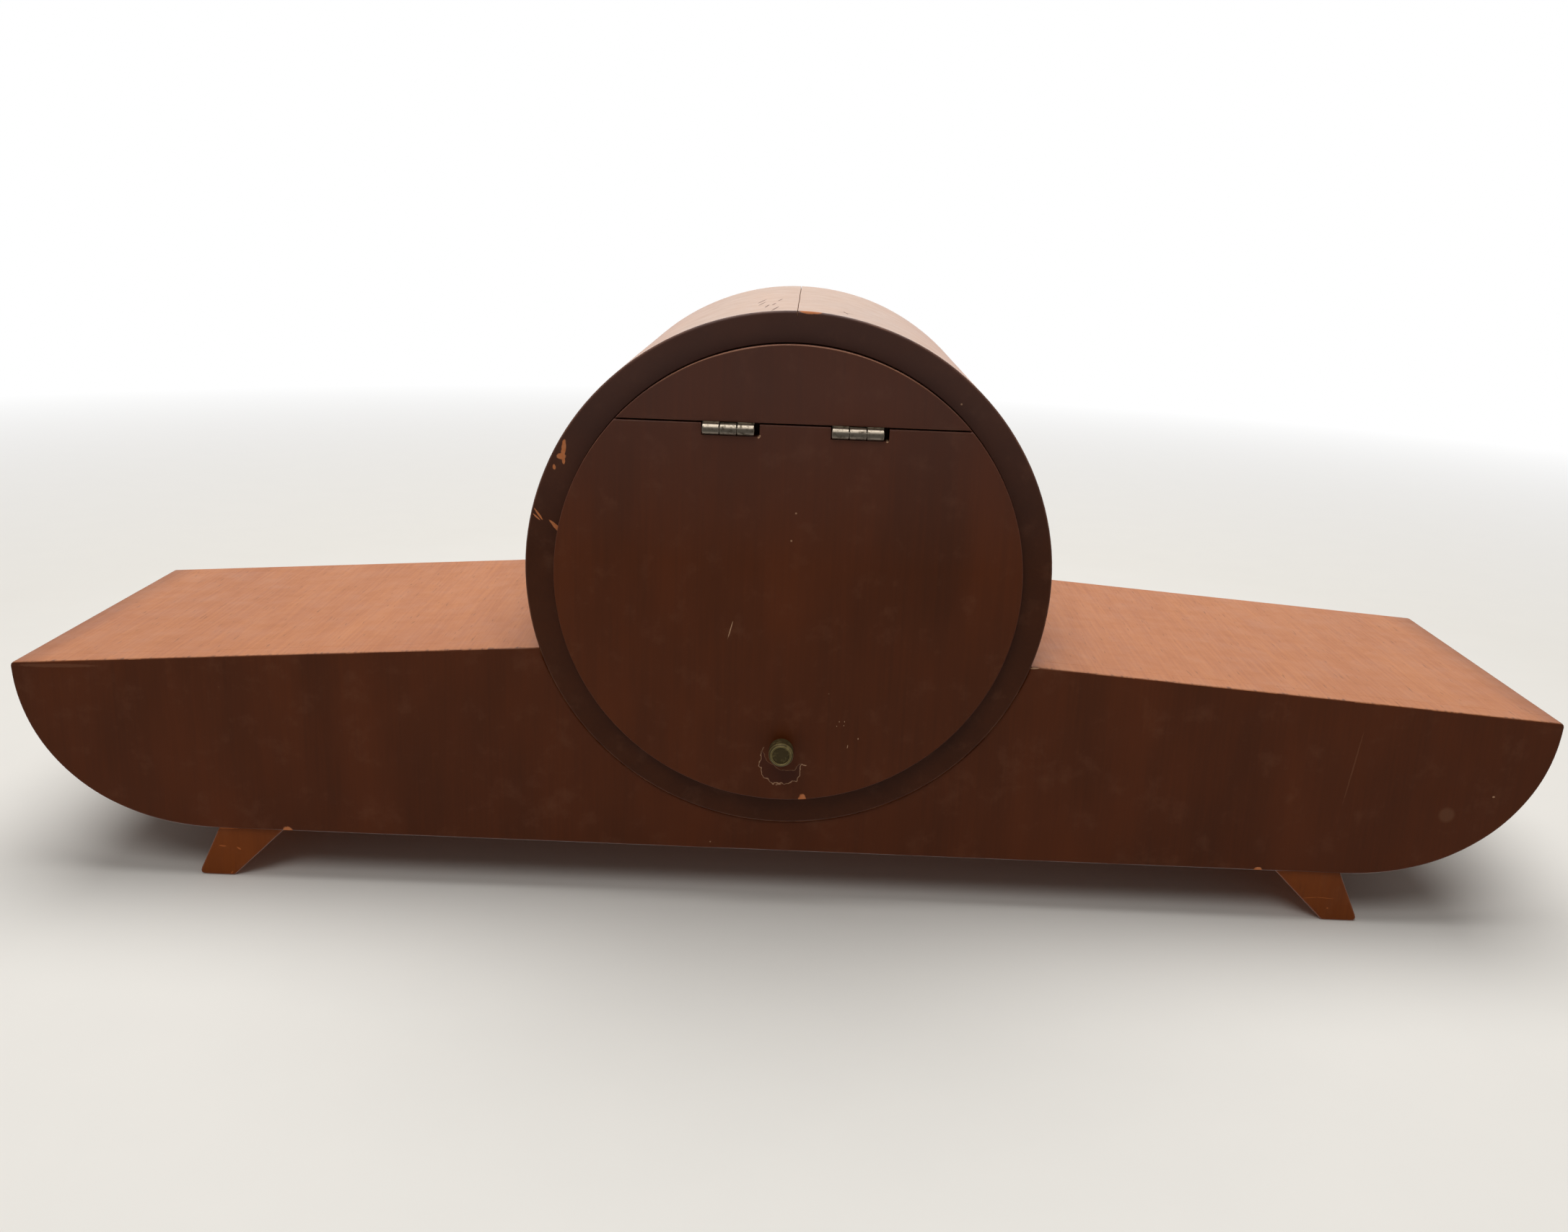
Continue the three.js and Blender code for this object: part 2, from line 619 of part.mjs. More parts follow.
function discShape(from, to) {
  const shape = new THREE.Shape();
  shape.absarc(0, drumHeight, discRadius, from, to, false);
  return shape;
}

const segmentTurn = Math.asin(seamRise / discRadius);
const doorTurn = Math.asin((seamRise - SEAM_GAP) / discRadius);
const segment = alongY(discShape(segmentTurn, Math.PI - segmentTurn), discFront, discBack, 14);
add("back_segment", "stainedWood", cut(segment, ...caseMortises));

const knobPlace = { x: 0, z: drumHeight - discRadius + KNOB_IN };
const doorDisc = alongY(discShape(Math.PI - doorTurn, 2 * Math.PI + doorTurn), discFront, discBack, 30);
const knobHole = bar("y", KNOB_SHAFT + RUN, discFront - FIT, discBack + FIT, 12);
add("back_door", "stainedWood", cut(doorDisc, ...hingeNotches, knobHole.translate(0, 0, knobPlace.z)));

// Back hinges: the case leaf has the two outer knuckles, the door leaf the middle one

const knuckleLength = (HINGE_LENGTH - 2 * RUN) / 3;
const pinBore = HINGE_PIN_RADIUS + RUN;

function knuckle(from, to) {
  const tube = bar("x", KNUCKLE_RADIUS, from, to, 10);
  return tube.translate(0, hingeY, hingeZ);
}

for (const [name, side] of [["left", 1], ["right", -1]]) {
  const start = side * HINGE_SPREAD - HINGE_LENGTH / 2;
  const end = start + HINGE_LENGTH;
  const clearOfKnuckles = hingeY - KNUCKLE_RADIUS - RUN;
  const bore = bar("x", pinBore, start - FIT, end + FIT, 8).translate(0, hingeY, hingeZ);
  const outer = [[start, start + knuckleLength], [end - knuckleLength, end]];
  const caseLeaf = block(start, end, leafInnerY, clearOfKnuckles, caseLeafLow, caseLeafLow + LEAF_THICK);
  const webs = outer.flatMap(([from, to]) => [
    block(from, to, clearOfKnuckles - LEAF_THICK, hingeY, caseLeafLow, caseLeafLow + LEAF_THICK),
    block(from, to, hingeY - KNUCKLE_RADIUS / 2, hingeY, hingeZ + pinBore, caseLeafLow + LEAF_THICK),
  ]);
  const outerKnuckles = outer.map(([from, to]) => knuckle(from, to));
  add(`hinge_${name}_case_leaf`, "steel", cut(joined(caseLeaf, ...webs, ...outerKnuckles), bore));

  const from = start + knuckleLength + RUN;
  const to = end - knuckleLength - RUN;
  const doorLeafLow = doorLeafHigh - LEAF_THICK;
  const doorLeaf = block(start, end, leafInnerY, clearOfKnuckles, doorLeafLow, doorLeafHigh);
  const tongue = block(from, to, clearOfKnuckles - LEAF_THICK, hingeY, doorLeafLow, hingeZ + KNUCKLE_RADIUS);
  add(`hinge_${name}_door_leaf`, "steel", cut(joined(doorLeaf, tongue, knuckle(from, to)), bore));

  const pin = bar("x", HINGE_PIN_RADIUS, start, end, 8);
  add(`hinge_${name}_pin`, "steel", pin.translate(0, hingeY, hingeZ));
}

// Knob and catch: the catch lies level at rest, and a quarter turn brings it down behind the ledge

const catchBack = ledgeFront - 2 * FIT;
const catchFront = catchBack - CATCH_THICK;
const knobFoot = discBack + FIT;
const knob = turned(
  [
    [0, catchFront - FIT],
    [KNOB_SHAFT, catchFront - FIT],
    [KNOB_SHAFT, knobFoot],
    [KNOB_NECK, knobFoot],
    [KNOB_NECK, knobFoot + KNOB_NECK_LENGTH],
    [KNOB_RADIUS, knobFoot + KNOB_NECK_LENGTH + KNOB_FLARE],
    [KNOB_RADIUS, knobEnd - KNOB_CHAMFER],
    [KNOB_RADIUS - KNOB_CHAMFER, knobEnd],
    [0, knobEnd],
  ],
  16,
);
add("door_knob", "agedBrass", knob, knobPlace);

const catchReach = knobPlace.z - (drumHeight - ledgeInner) + CATCH_HOLD;
const catchHalf = CATCH_WIDTH / 2;
const catchPlate = block(-catchHalf, catchReach, catchFront, catchBack, -catchHalf, catchHalf);
const catchHole = bar("y", KNOB_SHAFT + FIT, catchFront - FIT, catchBack + FIT, 12);
add("door_catch", "steel", cut(catchPlate, catchHole), knobPlace);

// Dial, bezel and glass

const dialShape = new THREE.Shape(circle(dialRadius, 40));
dialShape.holes.push(new THREE.Path(circle(DIAL_HOLE, 12)));
for (const arbor of [going, strike]) {
  dialShape.holes.push(new THREE.Path(circle(DIAL_HOLE, 12, arbor.x, arbor.z - drumHeight)));
}
add("dial_plate", "dialPaint", alongY(dialShape, dialFace, dialBoardFront), middle);

const glassSeat = glassRadius + FIT;
const lipRadius = glassSeat - BEZEL_LIP;
const lipBack = bezelFront + BEZEL_LIP_SINK + BEZEL_LIP_THICK;
const bezelRing = turnedRing(
  [
    [lipRadius, bezelFront + BEZEL_LIP_SINK],
    [glassSeat, bezelFront],
    [glassSeat + BEZEL_SHOULDER, bezelFront + BEZEL_FALL],
    [bezelRadius, bezelBack - BEZEL_EDGE],
    [bezelRadius, bezelBack],
    [glassSeat, bezelBack],
    [glassSeat, lipBack],
    [lipRadius, lipBack],
  ],
  40,
).translate(0, 0, drumHeight);

const bezelBore = BEZEL_PIN_RADIUS + RUN;
const lugHalf = BEZEL_KNUCKLE_LENGTH / 2;
const knuckleEnd = lugHalf + RUN + BEZEL_KNUCKLE_LENGTH;

function atBezelPin(geometry) {
  return geometry.translate(bezelPinX, bezelPinY, drumHeight);
}

const lug = atBezelPin(bar("z", BEZEL_KNUCKLE, -lugHalf, lugHalf, 10));
const lugArmEnd = BEZEL_PIN_OUT + (bezelRadius - glassSeat) / 2;
const lugArm = atBezelPin(block(0, lugArmEnd, -BEZEL_ARM / 2, BEZEL_ARM / 2, -lugHalf, lugHalf));
const bezelPinHole = atBezelPin(bar("z", bezelBore, -knuckleEnd - FIT, knuckleEnd + FIT, 8));
add("bezel_ring", "brass", cut(joined(bezelRing, lug, lugArm), bezelPinHole));

const glassBack = lipBack + FIT;
const glassDome = [];
const innerDome = [];
const domeSteps = 4;
for (let step = 0; step <= domeSteps; step++) {
  const share = step / domeSteps;
  const radius = (lipRadius - FIT) * share;
  const front = glassApex + (glassBack - glassApex) * share ** 2;
  glassDome.push([radius, front]);
  innerDome.unshift([radius, front + GLASS_THICK]);
}
const glassRim = [[glassRadius, glassBack], [glassRadius, glassBack + GLASS_THICK]];
add("bezel_glass", "glass", turned([...glassDome, ...glassRim, ...innerDome], 36), middle);

const bracketOut = -BEZEL_KNUCKLE - BRACKET_MARGIN;
const bracketBack = dialBoardFront - bezelPinY;
const bracketFront = bracketBack - DIAL_THICK;
const bracketPlate = block(bracketOut, BEZEL_KNUCKLE, bracketFront, bracketBack, -knuckleEnd, knuckleEnd);
const bracketParts = [];
for (const side of [1, -1]) {
  const near = side * (lugHalf + RUN);
  const far = side * knuckleEnd;
  const low = Math.min(near, far);
  const high = Math.max(near, far);
  bracketParts.push(bar("z", BEZEL_KNUCKLE, low, high, 10));
  bracketParts.push(block(-BEZEL_KNUCKLE, BEZEL_KNUCKLE, 0, bracketBack, low, high));
}
const bracket = atBezelPin(joined(bracketPlate, ...bracketParts));
add("bezel_hinge_bracket", "brass", cut(bracket, bezelPinHole));
add("bezel_hinge_pin", "steel", atBezelPin(bar("z", BEZEL_PIN_RADIUS, -knuckleEnd, knuckleEnd, 8)));

// Hands

// A leaf-shaped hand from its boss to its tip, turned clockwise from twelve.
function hand(length, width, pipe, back, clockwise) {
  const bore = pipe + HAND_FIT;
  const root = bore + HAND_BOSS / 2;
  const widest = (2 * length) / 3;
  const turn = Math.PI / 2 - clockwise;
  const outline = [
    [root, -width / 4],
    [widest, -width / 2],
    [length, 0],
    [widest, width / 2],
    [root, width / 4],
  ].map(([along, across]) => vector(along, across).rotateAround(vector(0, 0), turn));
  const blade = alongY(new THREE.Shape(outline), back - HAND_THICK, back);
  return joined(tubeAlongY(bore, bore + HAND_BOSS, back - HAND_THICK, back, 12), blade);
}

const minuteTurn = radians(SHOWN_MINUTE * 6);
const hourTurn = radians(SHOWN_HOUR * 30 + SHOWN_MINUTE / 2);
const hourHand = hand(dialRadius - HOUR_TIP_IN, HOUR_WIDTH, HOUR_PIPE, hourHandBack, hourTurn);
add("hour_hand", "bluedSteel", hourHand, middle);
const minuteLength = dialRadius - MINUTE_TIP_IN;
const minuteHand = hand(minuteLength, MINUTE_WIDTH, CANNON_PIPE, minuteHandBack, minuteTurn);
add("minute_hand", "bluedSteel", minuteHand, middle);
const handNut = tubeAlongY(ARBOR + HAND_FIT, HAND_NUT_RADIUS, handNutFront, handNutBack, 16);
add("hand_nut", "brass", handNut, middle);

// Movement frame: two plates, four pillars, posts that hold it to the dial board

const corners = [];
for (const side of [-1, 1]) {
  const x = side * (PLATE_HALF_WIDTH - CORNER_IN);
  corners.push({ x, z: drumHeight + PLATE_UP - CORNER_IN });
  corners.push({ x, z: drumHeight - PLATE_DOWN + CORNER_IN });
}

function plateShape(holes) {
  const low = drumHeight - PLATE_DOWN;
  const high = drumHeight + PLATE_UP;
  const shape = new THREE.Shape([
    vector(-PLATE_HALF_WIDTH, low),
    vector(PLATE_HALF_WIDTH, low),
    vector(PLATE_HALF_WIDTH, high),
    vector(-PLATE_HALF_WIDTH, high),
  ]);
  for (const [place, radius] of holes) {
    shape.holes.push(new THREE.Path(circle(radius + RUN, 8, place.x, place.z)));
  }
  return shape;
}

const commonHoles = [[third, PIVOT], [escape, PIVOT], [pinWheel, PIVOT], [fly, PIVOT]];
const windingHoles = [[going, WINDING_ARBOR], [strike, WINDING_ARBOR]];
const frontHoles = [...commonHoles, ...windingHoles, [centre, CENTRE_ARBOR], [pallet, PIVOT]];
const barrelHoles = [[going, PIVOT], [strike, PIVOT]];
const crossingHoles = [[pallet, ARBOR], [hammerPlace, HAMMER_ARBOR]];
const backHoles = [...commonHoles, ...barrelHoles, ...crossingHoles, [centre, PIVOT]];
const posts = corners.map(({ x, z }) =>
  bar("y", POST_RADIUS, dialBoardBack, plateFace + PLATE / 2, 12).translate(x, 0, z),
);
const studBar = bar("y", PIVOT, minutePinionFront - STUD_PROUD, plateFace + PLATE / 2, 10);
const stud = studBar.translate(minuteStud.x, 0, minuteStud.z);
const frontPlate = alongY(plateShape(frontHoles), plateFace, frontInner);
add("movement_front_plate", "brass", joined(frontPlate, ...posts, stud));
add("movement_back_plate", "brass", alongY(plateShape(backHoles), backInner, backOuter));
corners.forEach((place, index) => {
  const profile = [
    [0, frontInner],
    [PILLAR_RADIUS, frontInner],
    [PILLAR_RADIUS, frontInner + PILLAR_RADIUS],
    [PILLAR_WAIST, frontInner + 2 * PILLAR_RADIUS],
    [PILLAR_WAIST, backInner - 2 * PILLAR_RADIUS],
    [PILLAR_RADIUS, backInner - PILLAR_RADIUS],
    [PILLAR_RADIUS, backInner],
    [0, backInner],
  ];
  add(`plate_pillar_${index + 1}`, "brass", turned(profile, 8), place);
});

// An arbor between the plates, with a pivot at each end.
function arborBetweenPlates(radius) {
  const profile = [
    [0, plateFace],
    [PIVOT, plateFace],
    [PIVOT, frontInner + RUN],
    [radius, frontInner + RUN],
    [radius, backInner - RUN],
    [PIVOT, backInner - RUN],
    [PIVOT, backOuter],
    [0, backOuter],
  ];
  return turned(profile, 8);
}

// Barrels and winding arbors

const barrelBore = WINDING_ARBOR + RUN;
const barrelRadius = (BARREL_TEETH / 2) * BARREL_MODULE - BARREL_WALL_IN;
const barrelDrum = tubeAlongY(barrelBore, barrelRadius, barrelFront, barrelBack, 24);
const goingFlange = wheel(goingGear, barrelBore, barrelFront, barrelFront + FLANGE);
const strikeFlange = wheel(strikeGear, barrelBore, barrelBack - FLANGE, barrelBack);
add("going_barrel", "brass", joined(barrelDrum, goingFlange), going);
add("strike_barrel", "brass", joined(barrelDrum, strikeFlange), strike);

function ratchetOutline() {
  const points = [];
  const pitch = (2 * Math.PI) / RATCHET_TEETH;
  for (let tooth = 0; tooth < RATCHET_TEETH; tooth++) {
    points.push(polar(RATCHET_RADIUS - RATCHET_TOOTH, tooth * pitch));
    points.push(polar(RATCHET_RADIUS, (tooth + 0.85) * pitch));
  }
  return points;
}

const ratchetBack = plateFace - RUN;
const squareFront = dialFace - SQUARE_PROUD;
const roundFront = ratchetBack - WINDING_ROUND;
const half = WINDING_SQUARE / 2;
const windingRound = turned(
  [
    [0, roundFront],
    [WINDING_ARBOR, roundFront],
    [WINDING_ARBOR, barrelBack + RUN],
    [PIVOT, barrelBack + RUN],
    [PIVOT, backOuter],
    [0, backOuter],
  ],
  14,
);
const windingSquare = block(-half, half, squareFront, roundFront + WINDING_ROUND / 2, -half, half);
const ratchet = alongY(new THREE.Shape(ratchetOutline()), ratchetBack - RATCHET_THICK, ratchetBack);
const windingArbor = joined(windingRound, windingSquare, ratchet);
add("going_winding_arbor", "steel", windingArbor, going);
add("strike_winding_arbor", "steel", windingArbor.clone(), strike);

// Going train

const centreFront = handNutFront - RUN;
const centreShaft = turned(
  [
    [0, centreFront],
    [ARBOR, centreFront],
    [ARBOR, cannonBack + RUN],
    [CENTRE_ARBOR, cannonBack + RUN],
    [CENTRE_ARBOR, centreLevel - RUN],
    [ARBOR, centreLevel - RUN],
    [ARBOR, backInner - RUN],
    [PIVOT, backInner - RUN],
    [PIVOT, backOuter],
    [0, backOuter],
  ],
  12,
);
const centreLeaves = pinion(centrePinion, barrelFront - RUN, barrelFront + FLANGE + RUN);
add("centre_arbor", "steel", joined(centreShaft, centreLeaves), centre);
const centreRim = wheel(centreGear, ARBOR + FIT, centreLevel, centreLevel + WHEEL, true);
add("centre_wheel", "brass", centreRim, centre);

// Leaves of a pinion that meshes with a wheel at a given level.
function leavesAt(gear, level) {
  const from = level + WHEEL / 2 - PINION_WIDTH / 2;
  return pinion(gear, from, from + PINION_WIDTH);
}

const thirdRim = wheel(thirdGear, ARBOR / 2, thirdLevel, thirdLevel + WHEEL, true);
const thirdLeaves = leavesAt(thirdPinion, centreLevel);
add("third_wheel", "brass", joined(arborBetweenPlates(ARBOR), thirdRim, thirdLeaves), third);

const escapeFoot = ESCAPE_RADIUS - ESCAPE_TOOTH;

function escapeOutline() {
  const pitch = (2 * Math.PI) / ESCAPE_TEETH;
  const points = [];
  for (let tooth = 0; tooth < ESCAPE_TEETH; tooth++) {
    points.push(polar(escapeFoot, tooth * pitch));
    points.push(polar(ESCAPE_RADIUS, (tooth + 0.25) * pitch));
    points.push(polar(escapeFoot, (tooth + 0.5) * pitch));
  }
  return points;
}

const escapeShape = new THREE.Shape(escapeOutline());
addSpokes(escapeShape, ESCAPE_HUB, escapeFoot - ESCAPE_RIM);
const escapeRim = alongY(escapeShape, escapeLevel, escapeLevel + WHEEL);
const escapeLeaves = leavesAt(escapePinion, thirdLevel);
add("escape_wheel", "brass", joined(arborBetweenPlates(ARBOR), escapeRim, escapeLeaves), escape);

// Pallet anchor, with its arbor through the back plate and its crutch behind

const crutchFront = backOuter + CRUTCH_SET;
const crutchBack = crutchFront + CRUTCH_THICK;
const palletShaft = turned(
  [
    [0, plateFace],
    [PIVOT, plateFace],
    [PIVOT, frontInner + RUN],
    [ARBOR, frontInner + RUN],
    [ARBOR, crutchBack],
    [0, crutchBack],
  ],
  10,
);
const palletTurn = radians(PALLET_SPREAD);
const tipReach = ESCAPE_RADIUS + PALLET_CLEAR;
const tip = vector(tipReach * Math.sin(palletTurn), tipReach * Math.cos(palletTurn) - PALLET_DISTANCE);
const heel = polar(PALLET_FACE, Math.PI / 2 - 2 * palletTurn).add(tip);
const anchorTop = ARBOR + 2 * ANCHOR_WAIST;
const anchorShape = new THREE.Shape([
  vector(-tip.x, tip.y),
  vector(0, -ARBOR - ANCHOR_WAIST),
  tip,
  heel,
  vector(ANCHOR_TOP, anchorTop),
  vector(-ANCHOR_TOP, anchorTop),
  vector(-heel.x, heel.y),
]);
const anchor = alongY(anchorShape, escapeLevel, escapeLevel + WHEEL);
const prongIn = PENDULUM_ROD + RUN;
const prongOut = prongIn + PRONG_WIDTH;
const prongBack = pendulumY + PRONG_REACH;
const prongLow = -CRUTCH_LENGTH - PRONG_HEIGHT;
const crutchHalf = CRUTCH_WIDTH / 2;
const crutchArm = block(-crutchHalf, crutchHalf, crutchFront, crutchBack, -CRUTCH_LENGTH, 2 * ARBOR);
const footTop = CRUTCH_THICK - CRUTCH_LENGTH;
const crutchFoot = block(-prongOut, prongOut, crutchFront, crutchBack, prongLow, footTop);
const prongs = [prongIn, -prongOut].map((from) =>
  block(from, from + PRONG_WIDTH, crutchFront, prongBack, prongLow, -CRUTCH_LENGTH),
);
add("pallet_anchor", "steel", joined(palletShaft, anchor, crutchArm, crutchFoot, ...prongs), pallet);

// Suspension cock on the back plate, and the pendulum that hangs from it

const cockLow = ARBOR + COCK_RISE;
const cockHigh = cockLow + COCK_HEIGHT;
const cockBack = pendulumY + SPRING_WIDTH / 2 + COCK_BACK;
const cockBlock = block(-COCK_HALF_WIDTH, COCK_HALF_WIDTH, backOuter, cockBack, cockLow, cockHigh);
const slotHalf = SPRING_THICK / 2 + 3 * RUN;
const slotFront = pendulumY - SPRING_WIDTH / 2 - RUN;
const cockSlot = block(-slotHalf, slotHalf, slotFront, cockBack + FIT, cockLow - FIT, cockHigh + FIT);
add("suspension_cock", "brass", cut(cockBlock, cockSlot), pallet);

function hung(geometry) {
  return geometry.translate(0, pendulumY, 0);
}

const springTop = cockLow + SPRING_GRIP;
const springHalf = SPRING_WIDTH / 2;
const spring = block(-SPRING_THICK / 2, SPRING_THICK / 2, -springHalf, springHalf, -SPRING_DROP, springTop);
const ferruleTop = FERRULE_GRIP - SPRING_DROP;
const ferruleLow = ferruleTop - FERRULE_LENGTH;
const ferruleDeep = springHalf + FIT;
const ferrule = block(-FERRULE_HALF, FERRULE_HALF, -ferruleDeep, ferruleDeep, ferruleLow, ferruleTop);
const rodEnd = -PENDULUM_LENGTH - BOB_RADIUS - ROD_TAIL;
const rod = bar("z", PENDULUM_ROD, rodEnd, ferruleLow + FERRULE_GRIP, 10);
add("pendulum_rod", "steel", hung(joined(spring, ferrule, rod)), pallet);

const lensProfile = [];
const lensSteps = 6;
for (let step = 0; step <= lensSteps; step++) {
  const turn = (Math.PI * step) / lensSteps;
  lensProfile.push([BOB_RADIUS * Math.sin(turn), (-BOB_THICK / 2) * Math.cos(turn)]);
}
lensProfile[lensSteps][0] = 0;
const lens = turned(lensProfile, 20).translate(0, 0, -PENDULUM_LENGTH);
const rodBore = PENDULUM_ROD + RUN;
const bobHole = bar("z", rodBore, rodEnd, 0, 12);
add("pendulum_bob", "brass", hung(cut(lens, bobHole)), pallet);
const nutTop = -PENDULUM_LENGTH - BOB_RADIUS - FIT;
const nutDisc = bar("z", NUT_RADIUS, nutTop - NUT_HEIGHT, nutTop, 16);
add("rating_nut", "brass", hung(cut(nutDisc, bobHole)), pallet);

// Motion work between the front plate and the dial; the cannon pinion slips on its arbor to set the hands

const cannonPipe = bar("y", CANNON_PIPE, minuteHandFront, cannonBack, 12);
const cannonBore = bar("y", ARBOR + RUN, minuteHandFront - FIT, cannonBack + FIT, 12);
const cannonBody = joined(cannonPipe, pinion(cannon, cannonFront, cannonBack));
add("cannon_pinion", "steel", cut(cannonBody, cannonBore), centre);
const minuteBore = PIVOT + RUN;
const minuteRim = wheel(minuteGear, minuteBore, minuteLevel, minuteLevel + WHEEL);
const minuteLeaves = cut(
  pinion(minutePinion, minutePinionFront, minuteLevel + WHEEL / 2),
  bar("y", minuteBore, minutePinionFront - FIT, minuteLevel + WHEEL, 12),
);
add("minute_wheel", "brass", joined(minuteRim, minuteLeaves), minuteStud);
const hourRim = wheel(hourGear, HOUR_PIPE_BORE, hourLevel, hourLevel + WHEEL);
const pipeFront = hourHandBack - HAND_THICK - RUN;
const hourPipe = tubeAlongY(HOUR_PIPE_BORE, HOUR_PIPE, pipeFront, hourLevel + WHEEL, 16);
add("hour_wheel", "brass", joined(hourRim, hourPipe), centre);

// Strike train: pin wheel and fly

const liftPins = [];
for (let index = 0; index < LIFT_PINS; index++) {
  const place = polar(LIFT_PIN_CIRCLE, (2 * Math.PI * index) / LIFT_PINS);
  const pin = bar("y", LIFT_PIN_RADIUS, pinLevel + WHEEL / 2, pinLevel + WHEEL + LIFT_PIN_LENGTH, 6);
  liftPins.push(pin.translate(place.x, 0, place.y));
}
const pinFrom = barrelBack - FLANGE / 2 - PINION_WIDTH / 2;
const pinLeaves = pinion(pinPinion, pinFrom, pinFrom + PINION_WIDTH);
const pinRim = wheel(pinGear, ARBOR / 2, pinLevel, pinLevel + WHEEL);
add("pin_wheel", "brass", joined(arborBetweenPlates(ARBOR), pinRim, pinLeaves, ...liftPins), pinWheel);

const flyLeaves = leavesAt(flyPinion, pinLevel);
const vaneFront = barrelFront + FLY_SET;
const vaneBack = barrelBack - FLY_SET;
const vane = block(-FLY_HALF_WIDTH, FLY_HALF_WIDTH, vaneFront, vaneBack, -FLY_THICK / 2, FLY_THICK / 2);
add("strike_fly", "brass", joined(arborBetweenPlates(ARBOR), flyLeaves, vane), fly);

// Hammers, their frame, and the gong

const gongRows = GONG_LENGTHS.map((length, index) => backOuter + GONG_FIRST + index * GONG_PITCH);
const lastRow = gongRows[gongRows.length - 1];
const frameBack = lastRow + HAMMER_HUB / 2 + 2 * RUN;
const strapLow = HAMMER_HEAD + STRAP_RISE;
const strapHigh = strapLow + STRAP_THICK;
const strapHalf = STRAP_WIDTH / 2;
const strapBack = frameBack + STRAP_END;
const hammerShaft = bar("y", HAMMER_ARBOR, backInner, frameBack + STRAP_END / 2, 14);
const strap = block(-strapHalf, strapHalf, backOuter, strapBack, strapLow, strapHigh);
const strapEnd = block(-strapHalf, strapHalf, frameBack, strapBack, -STRAP_FOOT, strapHigh);
add("hammer_frame", "steel", joined(hammerShaft, strap, strapEnd), hammerPlace);

const headLow = gongHeight + GONG_RADIUS + HAMMER_GAP - hammerZ;
const headMiddle = headLow + HAMMER_HEAD_HEIGHT / 2;
const armTurn = Math.atan2(headMiddle, -HAMMER_REACH);
const armStart = (HAMMER_ARBOR + RUN + HAMMER_HEAD) / 2;
const armEnd = Math.hypot(HAMMER_REACH, headMiddle);
const armOutline = [
  [armStart, -HAMMER_ARM_ROOT / 2],
  [armEnd, -HAMMER_ARM_END / 2],
  [armEnd, HAMMER_ARM_END / 2],
  [armStart, HAMMER_ARM_ROOT / 2],
].map(([along, across]) => vector(along, across).rotateAround(vector(0, 0), armTurn));
gongRows.forEach((row, index) => {
  const hub = tubeAlongY(HAMMER_ARBOR + RUN, HAMMER_HEAD, -HAMMER_HUB / 2, HAMMER_HUB / 2, 12);
  const arm = alongY(new THREE.Shape(armOutline), -HAMMER_ARM_THICK / 2, HAMMER_ARM_THICK / 2);
  const headBar = bar("z", HAMMER_HEAD, headLow, headLow + HAMMER_HEAD_HEIGHT, 12);
  const hammer = joined(hub, arm, headBar.translate(-HAMMER_REACH, 0, 0));
  add(`hammer_${index + 1}`, "brass", hammer.translate(0, row, 0), hammerPlace);
  const gongRod = bar("x", GONG_RADIUS, BLOCK_X + FIT, BLOCK_X + GONG_LENGTHS[index], 10);
  add(`gong_rod_${index + 1}`, "steel", gongRod.translate(0, row, gongHeight));
});
const blockFront = gongRows[0] - BLOCK_MARGIN;
const blockBack = lastRow + BLOCK_MARGIN;
const blockHigh = gongHeight + BLOCK_RISE;
const gongBlock = block(BLOCK_X - BLOCK_LENGTH, BLOCK_X, blockFront, blockBack, boardTop, blockHigh);
add("gong_block", "castIron", gongBlock);

const clock = new THREE.Group();
clock.add(works);

export default clock;
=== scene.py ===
"""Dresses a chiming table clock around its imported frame: wood, fittings, dial, movement and gongs."""

import json
import math

import bmesh
import bpy
from mathutils import Matrix, Vector, noise


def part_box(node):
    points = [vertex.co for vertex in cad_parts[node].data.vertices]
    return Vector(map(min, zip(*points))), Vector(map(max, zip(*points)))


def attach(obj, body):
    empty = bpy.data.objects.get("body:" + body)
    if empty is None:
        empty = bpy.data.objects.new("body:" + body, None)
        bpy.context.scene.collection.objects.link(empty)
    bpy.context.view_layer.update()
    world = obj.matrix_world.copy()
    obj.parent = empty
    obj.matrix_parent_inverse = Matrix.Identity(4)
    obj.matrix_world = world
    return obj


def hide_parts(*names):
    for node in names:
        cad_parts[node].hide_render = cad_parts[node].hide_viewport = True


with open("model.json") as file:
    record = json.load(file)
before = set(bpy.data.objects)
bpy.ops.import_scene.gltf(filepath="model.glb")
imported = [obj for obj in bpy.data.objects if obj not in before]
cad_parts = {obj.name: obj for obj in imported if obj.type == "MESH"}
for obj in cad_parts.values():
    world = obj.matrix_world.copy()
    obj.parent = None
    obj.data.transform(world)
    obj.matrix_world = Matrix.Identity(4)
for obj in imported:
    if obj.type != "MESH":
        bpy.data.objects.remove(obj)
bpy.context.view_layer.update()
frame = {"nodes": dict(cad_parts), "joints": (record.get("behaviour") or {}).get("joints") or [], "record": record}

bl_info = {
    "name": "Chiming table clock",
    "version": (1, 0, 0),
    "blender": (4, 5, 0),
    "location": "3D View > Sidebar > Clock",
    "description": "Finishes each piece of a chiming table clock",
    "category": "Object",
}

MM = 0.001

# What the frame says: each node's box, the body that carries it and its material slot, and each body's pivot
BOXES = {node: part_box(node) for node in frame["nodes"]}
BODIES = frame["record"]["behaviour"]["bodies"]
BODY_OF = {node: body for body, nodes in BODIES.items() for node in nodes}
SLOT_OF = {row["node"]: row["material_slot"] for row in frame["record"]["subparts"]}
PIVOTS = {joint["child"]: Vector(joint["pos_m"]) for joint in frame["joints"] if "pos_m" in joint}

